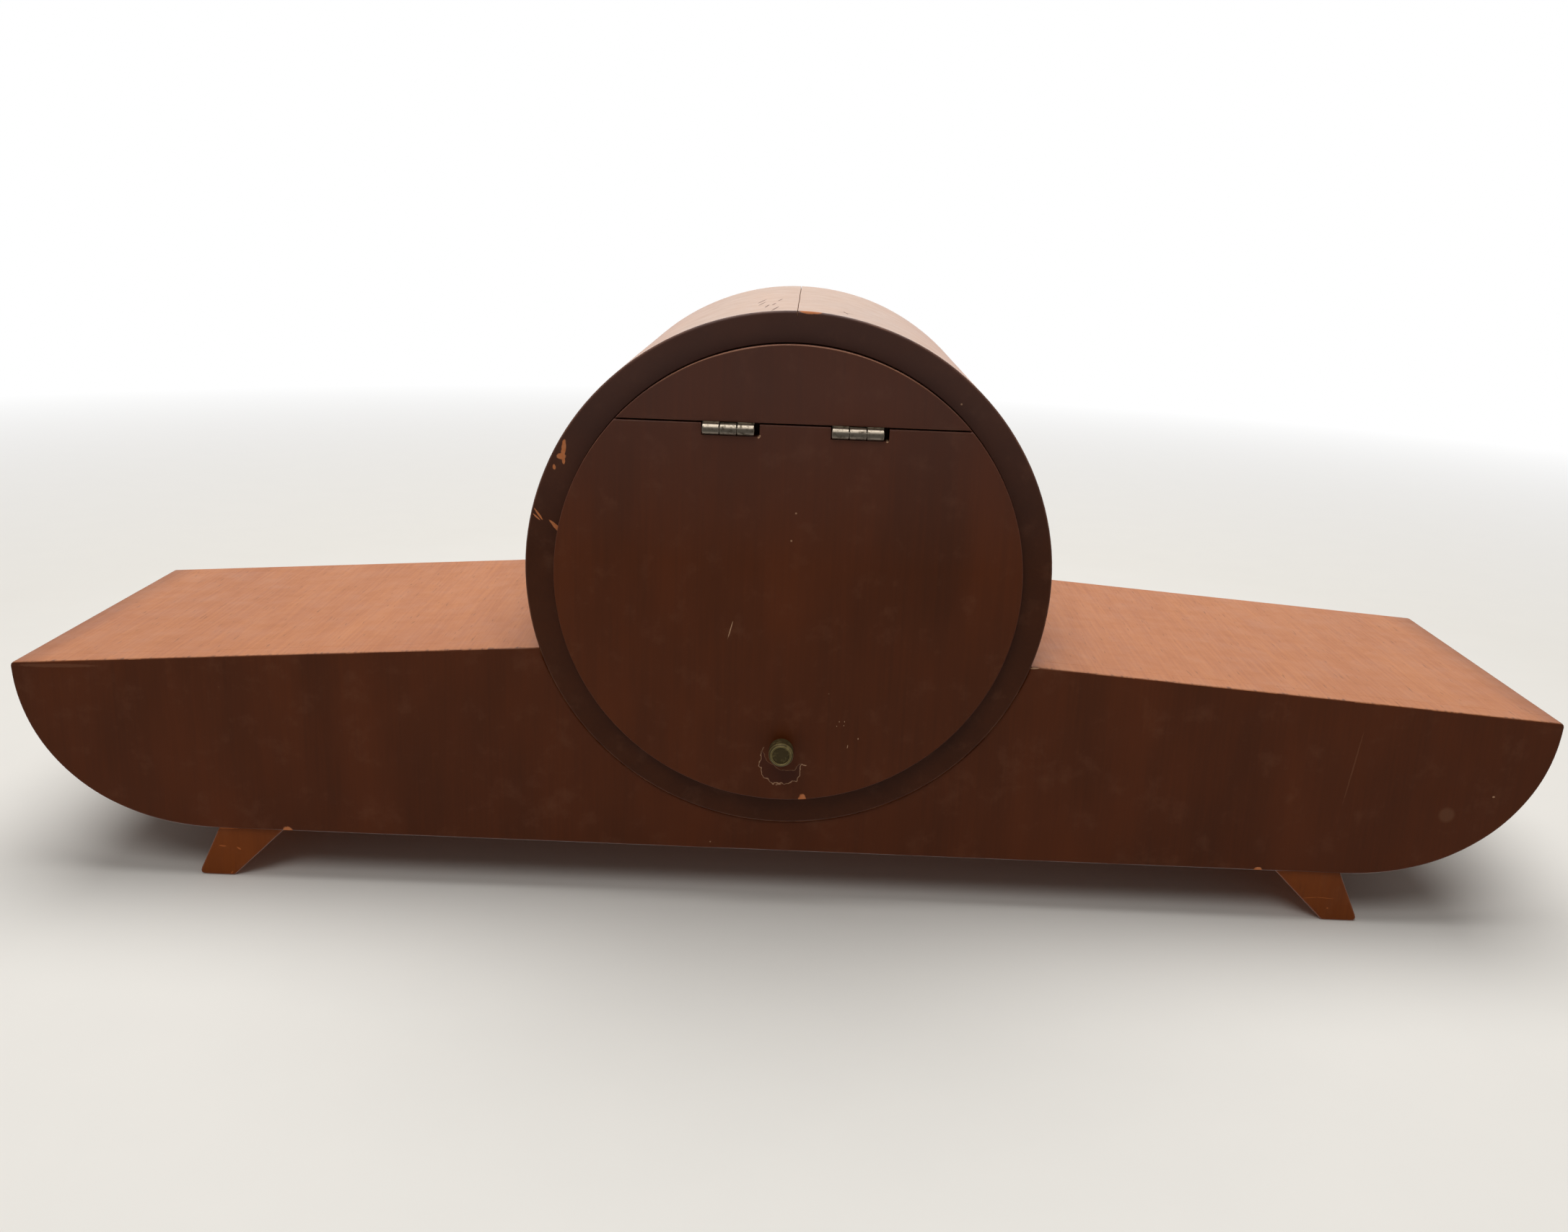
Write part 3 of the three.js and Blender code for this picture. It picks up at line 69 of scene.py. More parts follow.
# Base: the boat outline
HALF_LENGTH = BOXES["base_back_panel"][1].x
UNDERSIDE = BOXES["base_bottom_board"][0].z
SIDE_HEIGHT = 66.5 * MM
TIP_HEIGHT = UNDERSIDE + SIDE_HEIGHT
TOP_RISE = 21 * MM
END_RUN = 76 * MM
END_POWER = 2.1
FLAT_HALF = HALF_LENGTH - END_RUN
BOARD = BOXES["base_back_panel"][1].y - BOXES["base_back_panel"][0].y
BASE_BACK = BOXES["base_back_panel"][1].y
BASE_FRONT = BOXES["base_front_panel"][0].y
INNER_BACK = BOXES["base_back_panel"][0].y
INNER_FRONT = BOXES["base_front_panel"][1].y

# Drum and round back
DRUM_RADIUS = BOXES["drum_hoop"][1].x
CENTRE_Z = BOXES["drum_hoop"][1].z - DRUM_RADIUS
DRUM_FRONT = BOXES["drum_hoop"][0].y
DRUM_BACK = BOXES["drum_hoop"][1].y
HOOP_INNER = DRUM_RADIUS - 10.5 * MM
HOOP_OPEN_ANGLE = math.radians(25)
HOOP_OPEN_FRONT = DRUM_FRONT + 47 * MM
HOOP_OPEN_BACK = DRUM_BACK - 23.5 * MM
DRUM_GAP = 0.2 * MM  # between the hoop and the boards cut round it
DISC_FRONT = BOXES["back_door"][0].y
DISC_BACK = BOXES["back_door"][1].y
DISC_RADIUS = CENTRE_Z - BOXES["back_door"][0].z
SEAM = BOXES["back_segment"][0].z
DOOR_TOP = BOXES["back_door"][1].z

# Camera that took the photograph
PHOTO_WIDTH = 2173
FOCAL_PIXELS = 1981.8
SENSOR = 36
EYE = Vector((-4.2, 604.4, 267.2)) * MM
YAW = math.radians(-0.56)
PITCH = math.radians(-15.88)
ROLL = math.radians(2.1)


# Colour

def linear(hexadecimal):
    """The linear colour of an sRGB hex value."""
    channels = [int(hexadecimal[index:index + 2], 16) / 255 for index in (1, 3, 5)]
    curved = [c / 12.92 if c <= 0.04045 else ((c + 0.055) / 1.055) ** 2.4 for c in channels]
    return (*curved, 1.0)


def length(name, description, millimetres):
    """A size that a user may change."""
    return bpy.props.FloatProperty(
        name=name, description=description, default=millimetres * MM, min=0, unit="LENGTH", precision=5
    )


def colour(name, description, hexadecimal):
    """A colour that a user may change."""
    return bpy.props.FloatVectorProperty(
        name=name, description=description, default=linear(hexadecimal), size=4, subtype="COLOR", min=0, max=1
    )


class ClockSizes(bpy.types.PropertyGroup):
    """Sizes of the edges, marks and small fittings."""

    board_edge: length("Board edge", "Rounding of the base's edges", 0.7)
    foot_edge: length("Foot edge", "Rounding of the feet", 0.85)
    rim_edge: length("Rim edge", "Rounding of the hoop's rims", 1.1)
    door_edge: length("Door edge", "Rounding of the round back", 0.55)
    door_taper: length("Door taper", "How much smaller the round back is inside than outside", 0.5)
    seam_width: length("Hoop seam", "Width of the open butt seam on top of the hoop", 0.3)
    seam_depth: length("Hoop seam depth", "Depth of the open butt seam", 1.5)
    metal_edge: length("Metal edge", "Rounding of plates, wheels and levers", 0.15)
    numeral_height: length("Numeral height", "Height of the dial's numbers", 12.5)
    numeral_circle: length("Numeral circle", "Radius of the circle of numbers", 53.5)
    track_circle: length("Minute circle", "Radius of the minute marks", 65)
    screw_head: length("Screw head", "Radius of a screw's head", 2.3)


class ClockColours(bpy.types.PropertyGroup):
    """Colours of the finishes."""

    stain_deep: colour("Deep stain", "Darkest tone of the stained wood", "#4a220a")
    stain_warm: colour("Warm stain", "Reddest tone of the stained wood", "#602b0a")
    # Top tones: partly real fading and partly painted light, as upward faces are painted lighter than upright ones
    top_deep: colour("Faded and lit top, deep", "Darker tone of the faded and lit top boards", "#a05e36")
    top_warm: colour("Faded and lit top, light", "Lighter tone of the faded and lit top boards", "#ba7645")
    # Painted reflection: a pale painted glare on the top of the hoop
    bleached: colour("Painted glare", "Painted glare on the top of the hoop", "#b9a792")
    rubbed: colour("Rubbed edge", "Lacquer rubbed thin along an edge", "#8a5c42")
    scored: colour("Scratch", "Light line of a scratch in the lacquer", "#c39a78")
    flaked: colour("Flaked lacquer", "Dull patch where the top coat has flaked", "#3f1c14")
    # Painted reflection: the upper part of the round back and rims is painted greyer, as a reflection of the pale
    # surroundings above
    hazed: colour("Painted reflection", "Grey painted reflection on the upper part of the drum's back", "#55423f")
    bare: colour("Bare wood", "Wood where the lacquer is chipped off", "#b8642f")
    raw: colour("Raw wood", "Unfinished wood inside the case", "#b58f62")
    brass: colour("Brass", "Satin brass of the movement", "#c2994f")
    bezel_brass: colour("Bezel brass", "Lacquered brass of the bezel", "#c9a052")
    old_brass: colour("Old brass", "Rubbed edges of the knob", "#a89660")
    steel: colour("Steel", "Turned steel", "#a3a19c")
    old_steel: colour("Old steel", "Tarnished steel of the hinges", "#a89c8b")
    blued: colour("Blued steel", "Hands", "#171b2c")
    iron: colour("Cast iron", "Gong block", "#2b2b2c")
    paint: colour("Dial paint", "Cream dial", "#e9e0c8")
    ink: colour("Dial ink", "Numbers and minute marks", "#1d1a17")
    leather: colour("Leather", "Hammer tips", "#8d6238")
    floor: colour("Floor", "Plain pale floor", "#e6e3dd")
    floor_shade: colour("Floor shade", "Slight clouds on the floor", "#bcbcbc")


# Outlines and shells

class Shell:
    """Points, faces and edge wear of one piece while it is made."""

    def __init__(self):
        self.points = []
        self.faces = []
        self.worn = []

    def ring(self, points, worn=0.0):
        """Adds points that are all as worn, and gives their numbers."""
        start = len(self.points)
        self.points.extend(points)
        self.worn.extend([worn] * len(points))
        return list(range(start, len(self.points)))

    def band(self, first, second):
        """Adds the faces between two rings, either of which may be a single point."""
        count = max(len(first), len(second))
        first, second = (ring * count if len(ring) == 1 else ring for ring in (first, second))
        for index in range(count):
            after = (index + 1) % count
            face = list(dict.fromkeys([first[index], first[after], second[after], second[index]]))
            if len(face) > 2:
                self.faces.append(face)


# Each of the next three places a point of an outline across an axis, at a level along that axis

def along_y(x=0.0, z=0.0):
    return lambda u, v, w: Vector((x + u, w, z + v))


def along_x(y, z):
    return lambda u, v, w: Vector((w, y + u, z + v))


def along_z(x=0.0, y=0.0):
    return lambda u, v, w: Vector((x + u, y + v, w))


def flat(points):
    return [Vector(point) for point in points]


def middle_of(node):
    return [(low + high) / 2 for low, high in zip(*BOXES[node])]


def arc(middle, radius, start, end, steps):
    """Points of an arc from one angle to another."""
    turns = [start + (end - start) * step / steps for step in range(steps + 1)]
    return [Vector((middle[0] + radius * math.cos(t), middle[1] + radius * math.sin(t))) for t in turns]


def circle(x, z, radius, sides=32):
    return arc((x, z), radius, 0, math.tau, sides)[:-1]


EDGE_STEPS = 4
CORNER_SHARE = 0.45  # the most of a side that one rounded corner may take


def softened(corners, radii, closed=True, steps=EDGE_STEPS):
    """Points and wear of a line whose corners are rounded, each by its own radius."""
    line = []
    for index, corner in enumerate(corners):
        radius = radii[index]
        at_end = not closed and index in (0, len(corners) - 1)
        if radius <= 0 or at_end:
            line.append((corner, 0.0))
            continue
        before = corners[index - 1] - corner
        after = corners[(index + 1) % len(corners)] - corner
        reach = radius / math.tan(before.angle(after) / 2)
        reach = min(reach, CORNER_SHARE * before.length, CORNER_SHARE * after.length)
        start = corner + before.normalized() * reach
        end = corner + after.normalized() * reach
        for step in range(steps + 1):
            share = step / steps
            point = start * (1 - share) ** 2 + corner * 2 * share * (1 - share) + end * share ** 2
            line.append((point, 4 * share * (1 - share)))
    return line


def closely(outline, step):
    """The outline with more points along its long stretches."""
    line = []
    for index, point in enumerate(outline):
        after = outline[(index + 1) % len(outline)]
        count = max(1, round((after - point).length / step))
        line.extend(point.lerp(after, share / count) for share in range(count))
    return line


def inset(outline, depths):
    """The outline moved inwards, by a depth at each point."""
    count = len(outline)
    pairs = [(outline[index], outline[(index + 1) % count]) for index in range(count)]
    side = 1 if sum(a.x * b.y - b.x * a.y for a, b in pairs) > 0 else -1
    moved = []
    for index, point in enumerate(outline):
        before = (point - outline[index - 1]).normalized()
        after = (outline[(index + 1) % count] - point).normalized()
        normal = Vector((-before.y - after.y, before.x + after.x)).normalized()
        spread = max(0.4, normal.dot(Vector((-before.y, before.x))))
        moved.append(point + normal * (side * depths[index] / spread))
    return moved


CAP_MARGIN = 1.5  # flat rim inside a rounded edge, in radii, so that the face stays flat to the eye
UNEVEN_SCALE = 60  # patches of uneven wear along an edge, per metre


def plate(shell, outline, low, high, edges, place, uneven=0.0):
    """A plate of an outline between two levels, with rounded edges that are marked as worn."""
    spots = [noise.noise(Vector((point.x, point.y, low)) * UNEVEN_SCALE) for point in outline]
    scales = [1 + uneven * spot for spot in spots]
    levels = []
    for edge, level, inwards in ((edges[0], low, 1), (edges[1], high, -1)):
        steps = []
        for step in range(EDGE_STEPS + 1):
            turn = math.pi / 2 * step / EDGE_STEPS
            depth = edge * (1 - math.cos(turn))
            height = level + inwards * edge * (1 - math.sin(turn))
            steps.append((depth, height, math.sin(2 * turn)))
        steps.append((edge * CAP_MARGIN, level, 0.0))
        levels.append(steps)
    rings = []
    for depth, height, worn in levels[0][::-1] + levels[1]:
        moved = inset(outline, [depth * scale for scale in scales])
        rings.append(shell.ring([place(point.x, point.y, height) for point in moved], worn))
    for first, second in zip(rings, rings[1:]):
        shell.band(first, second)
    shell.faces.extend([rings[0], rings[-1]])
    return shell


def turned(shell, profile, place, sides, closed=False):
    """A turned form. The profile holds (radius, level) points with their wear."""
    rings = []
    for (radius, level), worn in profile:
        count = sides if radius > 0 else 1
        turns = [math.tau * side / count for side in range(count)]
        points = [place(radius * math.cos(t), radius * math.sin(t), level) for t in turns]
        rings.append(shell.ring(points, worn))
    pairs = list(zip(rings, rings[1:]))
    if closed:
        pairs.append((rings[-1], rings[0]))
    for first, second in pairs:
        shell.band(first, second)
    return shell


def turned_solid(shell, corners, edge, place, sides, closed=False):
    """A turned form from a few corners of (radius, level), each rounded a little."""
    points = flat(corners)
    return turned(shell, softened(points, [edge] * len(points), closed), place, sides, closed)


def tube(shell, inner, outer, low, high, edge, place, sides):
    """A turned rod between two levels, or a tube where the inner radius isn't 0."""
    corners = [(inner, low), (outer, low), (outer, high), (inner, high)]
    return turned_solid(shell, corners, edge, place, sides, inner > 0)


def block(shell, low, high, edge):
    """A box between two corners, with rounded edges."""
    corners = flat([(low[0], low[2]), (high[0], low[2]), (high[0], high[2]), (low[0], high[2])])
    outline = [point for point, _ in softened(corners, [2 * edge] * 4)]
    return plate(shell, outline, low[1], high[1], (edge, edge), along_y())


# Objects

JOIN = 0.002 * MM  # points nearer than this are one


def linked(name, mesh):
    made = bpy.data.objects.new(name, mesh)
    bpy.context.scene.collection.objects.link(made)
    return made


def sealed(mesh):
    """The mesh with its seams joined, stray points and slivers gone, and its faces pointing out."""
    shape = bmesh.new()
    shape.from_mesh(mesh)
    bmesh.ops.remove_doubles(shape, verts=shape.verts, dist=JOIN)
    bmesh.ops.dissolve_degenerate(shape, edges=shape.edges, dist=JOIN)
    stray = [point for point in shape.verts if not point.link_faces]
    bmesh.ops.delete(shape, geom=stray, context="VERTS")
    bmesh.ops.recalc_face_normals(shape, faces=shape.faces)
    shape.to_mesh(mesh)
    shape.free()
    return mesh


def built(name, shell):
    """An object of a shell, with its wear as an attribute."""
    mesh = bpy.data.meshes.new(name)
    mesh.from_pydata(shell.points, [], shell.faces)
    worn = mesh.attributes.new("worn", "FLOAT", "POINT")
    worn.data.foreach_set("value", shell.worn)
    return linked(name, sealed(mesh))


def evaluated(made):
    """A plain mesh of what an object shows."""
    graph = bpy.context.evaluated_depsgraph_get()
    return bpy.data.meshes.new_from_object(made.evaluated_get(graph))


def baked(made):
    """The object with its modifiers turned into its mesh."""
    mesh = evaluated(made)
    made.modifiers.clear()
    made.data = mesh
    return made


def removed(*objects):
    for made in objects:
        bpy.data.objects.remove(made)


def carved(made, *cutters):
    """The object with other objects cut out of it."""
    for cutter in cutters:
        cut = made.modifiers.new("cut", "BOOLEAN")
        cut.operation = "DIFFERENCE"
        cut.solver = "MANIFOLD"
        cut.object = cutter
    baked(made)
    removed(*cutters)
    return made


def together(name, *objects):
    """One object of several, with their materials kept."""
    shape = bmesh.new()
    for made in objects:
        shape.from_mesh(made.data)
    mesh = bpy.data.meshes.new(name)
    shape.to_mesh(mesh)
    shape.free()
    removed(*objects)
    return linked(name, mesh)


def sheet_metal(name, outlines, low, high, edge):
    """A plate with holes between two levels along Y, from outlines in (x, z)."""
    line = bpy.data.curves.new(name, "CURVE")
    line.dimensions = "2D"
    line.fill_mode = "BOTH"
    line.extrude = (high - low) / 2 - edge
    line.bevel_depth = edge
    line.bevel_resolution = 1
    line.offset = -edge
    for outline in outlines:
        spline = line.splines.new("POLY")
        spline.points.add(len(outline) - 1)
        spline.use_cyclic_u = True
        for point, (x, z) in zip(spline.points, outline):
            point.co = (x, z, 0, 1)
    drawn = linked(name + "_outline", line)
    mesh = evaluated(drawn)
    removed(drawn)
    mesh.transform(Matrix.Translation((0, (low + high) / 2, 0)) @ Matrix.Rotation(math.pi / 2, 4, "X"))
    mesh.materials.clear()
    return linked(name, sealed(mesh))


FLAT_ANGLE = math.radians(1)
CORNER_ANGLE = math.radians(46)
SMOOTH_ANGLE = math.radians(40)


def machined(node, edge, finish):
    """Makes the piece of a node from the node itself, with loose triangles joined and corners eased."""
    shape = bmesh.new()
    shape.from_mesh(frame["nodes"][node].data)
    bmesh.ops.remove_doubles(shape, verts=shape.verts, dist=JOIN)
    bmesh.ops.dissolve_limit(shape, angle_limit=FLAT_ANGLE, verts=shape.verts, edges=shape.edges)
    corners = [e for e in shape.edges if e.is_manifold and e.calc_face_angle() > CORNER_ANGLE]
    round_off = {"offset": edge, "segments": 2, "profile": 0.5, "affect": "EDGES", "clamp_overlap": True}
    bmesh.ops.bevel(shape, geom=corners, **round_off)
    mesh = bpy.data.meshes.new(node)
    shape.to_mesh(mesh)
    shape.free()
    fitted(linked(node + "_piece", mesh), finish, node)


FINISHES = {}


def fitted(made, finishes, node=None, body=None, slot=None, choose=None):
    """Gives a piece its shading and finish, hangs it on the body that carries it, and hides the node that it
    stands for.
    """
    made.data.shade_smooth()
    made.data.set_sharp_from_angle(angle=SMOOTH_ANGLE)
    even = made.modifiers.new("even", "WEIGHTED_NORMAL")
    even.keep_sharp = True
    baked(made)
    made.data.materials.clear()
    for finish in [finishes] if isinstance(finishes, str) else finishes:
        made.data.materials.append(FINISHES[finish])
    for face in made.data.polygons:
        face.material_index = choose(face) if choose else 0
    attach(made, body or BODY_OF[node])
    if node:
        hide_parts(node)
    slot or SLOT_OF[node]


def finished(node, shell, finishes, choose=None):
    """Makes the piece of a node from a shell."""
    fitted(built(node + "_piece", shell), finishes, node, choose=choose)


# Nodes

def adder(tree):
    """The function that adds a node to a tree."""

    def add(kind, sockets=(), out=0, **settings):
        """Adds one node with its settings, and values or links on its sockets, and gives an output."""
        made = tree.nodes.new(kind)
        for name, value in settings.items():
            setattr(made, name, value)
        pairs = sockets.items() if isinstance(sockets, dict) else enumerate(sockets)
        for key, value in pairs:
            if isinstance(value, bpy.types.NodeSocket):
                tree.links.new(value, made.inputs[key])
            else:
                made.inputs[key].default_value = value
        return made.outputs[out] if made.outputs else made

    return add


def blank(name):
    """An empty material, the function that adds its nodes and the place of each point on the clock."""
    material = bpy.data.materials.new(name)
    material.use_nodes = True
    material.node_tree.nodes.clear()
    add = adder(material.node_tree)
    return material, add, add("ShaderNodeTexCoord", out="Object")


# Wood

# Marks on the case, in millimetres: each runs from one point to another and has a half width.
# Marks on upright faces hold (x, z), and those on the top of the hoop hold (x, y).
RIM_CHIPS = [
    ((83.7, 182.7), (84.5, 176.7), 0.85),
    ((85.7, 176.9), (84.2, 176.9), 1.2),
    ((84.1, 176.1), (84.0, 174.4), 0.6),
    ((87.5, 172.4), (87.7, 173.2), 0.6),
    ((92.4, 153.2), (95.0, 156.8), 0.4),
    ((93.2, 152.8), (95.5, 154.8), 0.3),
    ((89.5, 152.6), (85.4, 149.3), 0.5),
    ((88.4, 151.2), (85.2, 148.1), 0.55),
    ((-1.6, 232.3), (-8.2, 232.2), 0.8),
]
DOOR_CHIPS = [((-8.9, 43.5), (-8.9, 47.4), 1.65)]
BASE_CHIPS = [((195.7, 21.6), (196.1, 21.6), 1.8), ((-190.5, 21.5), (-191, 21.5), 1.5)]
DOOR_LINES = [
    ((19.9, 117.7), (21.7, 110.9), 0.18),
    ((12.4, 187.3), (12.0, 187.8), 0.45),
    ((-34.2, 187.4), (-34.6, 187.9), 0.45),
    ((-21.8, 79.1), (-21.8, 79.3), 0.17),
    ((-23.8, 79.2), (-23.8, 79.4), 0.15),
    ((-20.9, 77.2), (-20.9, 77.4), 0.15),
    ((-23.6, 77.6), (-23.6, 77.8), 0.15),
    ((-29.3, 72.3), (-29.3, 72.8), 0.18),
    ((-25.3, 68.5), (-25.5, 69.8), 0.15),
]
BASE_RUBS = [((298, 86.7), (266, 87.8), 0.8), ((-224, 82), (-220, 51), 0.3)]
BASE_LINES = [
    ((-94, 101.7), (-97, 102), 0.35),
    ((-277.7, 56.7), (-278.1, 56.7), 0.33),
]
FOOT_LINES = [
    ((226, 20.6), (217, 20.8), 0.4),
    ((222, 12.7), (224.6, 12.9), 0.3),
    ((217.4, 12.4), (216.2, 11.6), 0.35),
    ((220.6, 0.9), (220.1, 1.6), 0.3),
    ((-210, 9.2), (-216.5, 9.9), 0.1),
    ((-216.2, 9.9), (-223.4, 9.5), 0.1),
    ((-221.1, 5.3), (-221.2, 5.3), 0.33),
]
HOOP_CRACKS = [
    ((16.2, 31), (13.4, 9), 0.4),
    ((15.4, 46), (13.2, 27), 0.35),
    ((12.4, 62), (11.2, 46), 0.35),
    ((10, 51), (8.8, 38), 0.35),
    ((8.4, 27), (6.8, 13), 0.35),
    ((9.4, 82), (7.2, 60), 0.4),
    ((-18.6, 68), (-16.8, 56), 0.35),
    ((-15, 64), (-20.4, 60), 0.45),
]
MARK_DEPTH = 8 * MM
MARK_FADE = (1.05, 0.8)  # distance from a mark's middle, in half sizes, at which it begins and is full
KNOB_FLAKE = ((-0.3, 61.5, 8.8), (-2.6, 68.6, 9.8))  # outer and inner circle of flaked lacquer: x, z, radius
ROUND_STAIN = (-261, 48.4, 3.2)


def patches(add, place, marks, wobble, face=None):
    """1 inside any of the marks, with ragged edges: on a back face at a level, or else on top of the hoop."""
    total = 0.0
    for start, end, half in marks:
        first, second = Vector(start) * MM, Vector(end) * MM
        middle, way = (first + second) / 2, second - first
        wide, reach = half * MM, way.length / 2 + half * MM
        if face is None:
            spot, turn = (middle.x, middle.y, CENTRE_Z + DRUM_RADIUS), (0, 0, math.atan2(-way.x, way.y))
            halves = (wide, reach, MARK_DEPTH)
        else:
            spot, turn = (middle.x, face, middle.y), (0, math.atan2(way.x, way.y), 0)
            halves = (wide, MARK_DEPTH, reach)
        fit = {"Vector": place, "Location": spot, "Rotation": turn, "Scale": halves}
        inside = add("ShaderNodeMapping", fit, vector_type="TEXTURE")
        ragged = add("ShaderNodeVectorMath", (inside, wobble), operation="ADD")
        far = add("ShaderNodeVectorMath", (ragged,), "Value", operation="LENGTH")
        filled = add("ShaderNodeMapRange", (far, *MARK_FADE))
        total = add("ShaderNodeMath", (total, filled), operation="MAXIMUM")
    return total


def within(add, place, x, z, radius):
    """Depth inside a circle on the clock's back, in millimetres and below 0 outside it."""
    fit = {"Vector": place, "Location": (x * MM, DISC_BACK, z * MM), "Scale": (MM, 20 * MM, MM)}
    offset = add("ShaderNodeMapping", fit, vector_type="TEXTURE")
    far = add("ShaderNodeVectorMath", (offset,), "Value", operation="LENGTH")
    return add("ShaderNodeMath", (radius, far), operation="SUBTRACT")


def outlined(add, depth, half_width, other):
    """1 on the line where a depth is 0, as far as another depth isn't below 0."""
    off = add("ShaderNodeMath", (depth,), operation="ABSOLUTE")
    line = add("ShaderNodeMapRange", (off, half_width, half_width / 3))
    kept = add("ShaderNodeMapRange", (other, -0.2, 0.0))
    return add("ShaderNodeMath", (line, kept), operation="MULTIPLY")


def layered(add, tone, layers):
    """Lays colours over a tone, each by its mask, or between two limits of its mask up to a share."""
    for above, mask, *limits in layers:
        if limits:
            low, high, most = limits
            mask = add("ShaderNodeMapRange", (mask, low, high, 0.0, most))
        tone = add("ShaderNodeMix", {0: mask, 6: tone, 7: above}, 2, data_type="RGBA")
    return tone


def shaken(add, place, size, reach):
    """Noise of a patch size in metres, as a shift to every side."""
    fit = {"Vector": place, "Scale": 1 / size, "Detail": 2.0}
    spread = add("ShaderNodeTexNoise", fit, "Color")
    centred = add("ShaderNodeVectorMath", (spread, (0.5, 0.5, 0.5)), operation="SUBTRACT")
    return add("ShaderNodeVectorMath", {0: centred, "Scale": reach}, operation="SCALE")


def stained_wood(name, grain, tones, roughness, shine, pores, extra, face=0.0, chips=(), lines=()):
    """Stained and lacquered beech: layers of colour over a cloudy brown, each laid on by its own mask."""
    colours = bpy.context.scene.clock_colours
    material, add, place = blank(name)

    def streaks(across, along, detail):
        """Noise drawn out along the grain, with a width and a length in millimetres."""
        stretch = [1 / ((along if axis == grain else across) * MM) for axis in range(3)]
        drawn = add("ShaderNodeMapping", {"Vector": place, "Scale": stretch})
        return add("ShaderNodeTexNoise", {"Vector": drawn, "Scale": 1.0, "Detail": detail})

    # Fibres and pores are about 0.3 mm wide in beech; they are drawn as coarse as they need to show
    fibre = streaks(1.1, 34, 3.0)
    bands = streaks(26, 90, 3.0)
    fibre_share = 0.6 if extra == "top" else 0.25
    pore = add("ShaderNodeMapRange", (streaks(0.8, 9, 2.0), 0.66, 0.74, 0.0, pores))
    clouds = {"Vector": place, "Scale": 1 / (11 * MM), "Detail": 5.0, "Roughness": 0.65}
    smudges = add("ShaderNodeTexNoise", clouds)
    clouds.update({"Scale": 1 / (14 * MM), "Detail": 4.0, "Roughness": 0.6})
    patchy = add("ShaderNodeTexNoise", clouds)
    blend = add("ShaderNodeMix", {0: fibre_share, 2: bands, 3: fibre})
    layers = [
        (tones[1], blend, 0.25, 0.75, 1.0),
        (colours.rubbed, smudges, 0.55, 0.85, 0.2),
        (colours.stain_deep, pore),
    ]
    level = add("ShaderNodeSeparateXYZ", (place,), "Z")
    # Painted light: a pale painted glare on the top of the hoop, painted shade that makes the hoop redder and
    # darker lower down, and a grey painted reflection on the upper part of the drum's back: each colour grows to
    # its full share between two heights
    grey_reflection = (colours.hazed, level, 140 * MM, 205 * MM, 0.4)
    painted_light_by_height = {
        "hoop": [
            (colours.stain_warm, level, 210 * MM, 100 * MM, 0.65),
            (colours.bleached, level, 195 * MM, 228 * MM, 0.5),
        ],
        "door": [grey_reflection],
        "rim": [grey_reflection],
    }
    layers += painted_light_by_height.get(extra, [])
    if extra == "top":
        # Dark stain has run over the back edge along the grain, and the far ends are painted redder and darker as
        # painted shade
        run = add("ShaderNodeMapRange", (streaks(1.5, 12, 2.0), 0.5, 0.85, 0.0, 2.5 * MM))
        behind = add("ShaderNodeSeparateXYZ", (place,), "Y")
        behind = add("ShaderNodeMath", (behind, run), operation="ADD")
        outwards = add("ShaderNodeSeparateXYZ", (place,), "X")
        outwards = add("ShaderNodeMath", (outwards,), operation="ABSOLUTE")
        layers += [
            (colours.stain_warm, outwards, HALF_LENGTH - 14 * MM, HALF_LENGTH, 0.5),
            (colours.stain_deep, behind, BASE_BACK - MM, BASE_BACK + MM, 0.8),
        ]

    worn = add("ShaderNodeAttribute", out="Fac", attribute_name="worn")
    # Painted shade: the rubbed edges of the round back are painted fainter lower down
    if extra == "door":
        lit_by_height = add("ShaderNodeMapRange", (level, 70 * MM, 200 * MM, 0.3, 1.0))
        worn = add("ShaderNodeMath", (worn, lit_by_height), operation="MULTIPLY")
    in_places = add("ShaderNodeMath", (worn, patchy), operation="MULTIPLY")
    layers.append((colours.rubbed, in_places, 0.38, 0.64, 0.5))
    # Partly a painted highlight and partly worn lacquer: the upper edge of the round back is painted paler
    if extra == "door":
        upper = add("ShaderNodeMapRange", (level, 196 * MM, 214 * MM))
        upper = add("ShaderNodeMath", (worn, upper), operation="MULTIPLY")
        layers.append((colours.rubbed, upper, 0.3, 0.8, 0.9))

    # Dust and pin-prick chips: a light speck of 0.3 mm in some of the cells of a 15 mm pattern
    wobble = shaken(add, place, 1.6 * MM, 0.7)
    cells = {"Vector": place, "Scale": 1 / (15 * MM)}
    speck = add("ShaderNodeMapRange", (add("ShaderNodeTexVoronoi", cells), 0.03, 0.015))
    chosen = add("ShaderNodeSeparateColor", (add("ShaderNodeTexVoronoi", cells, "Color"),))
    chosen = add("ShaderNodeMapRange", (chosen, 0.6, 0.75, 0.0, 0.6))
    layers.append((colours.scored, add("ShaderNodeMath", (speck, chosen), operation="MULTIPLY")))
    scored = patches(add, place, lines, wobble, face)
    scratch = colours.bare if extra == "feet" else colours.scored
    layers.append((scratch, add("ShaderNodeMath", (scored, 0.75), operation="MULTIPLY")))
    if extra == "door":
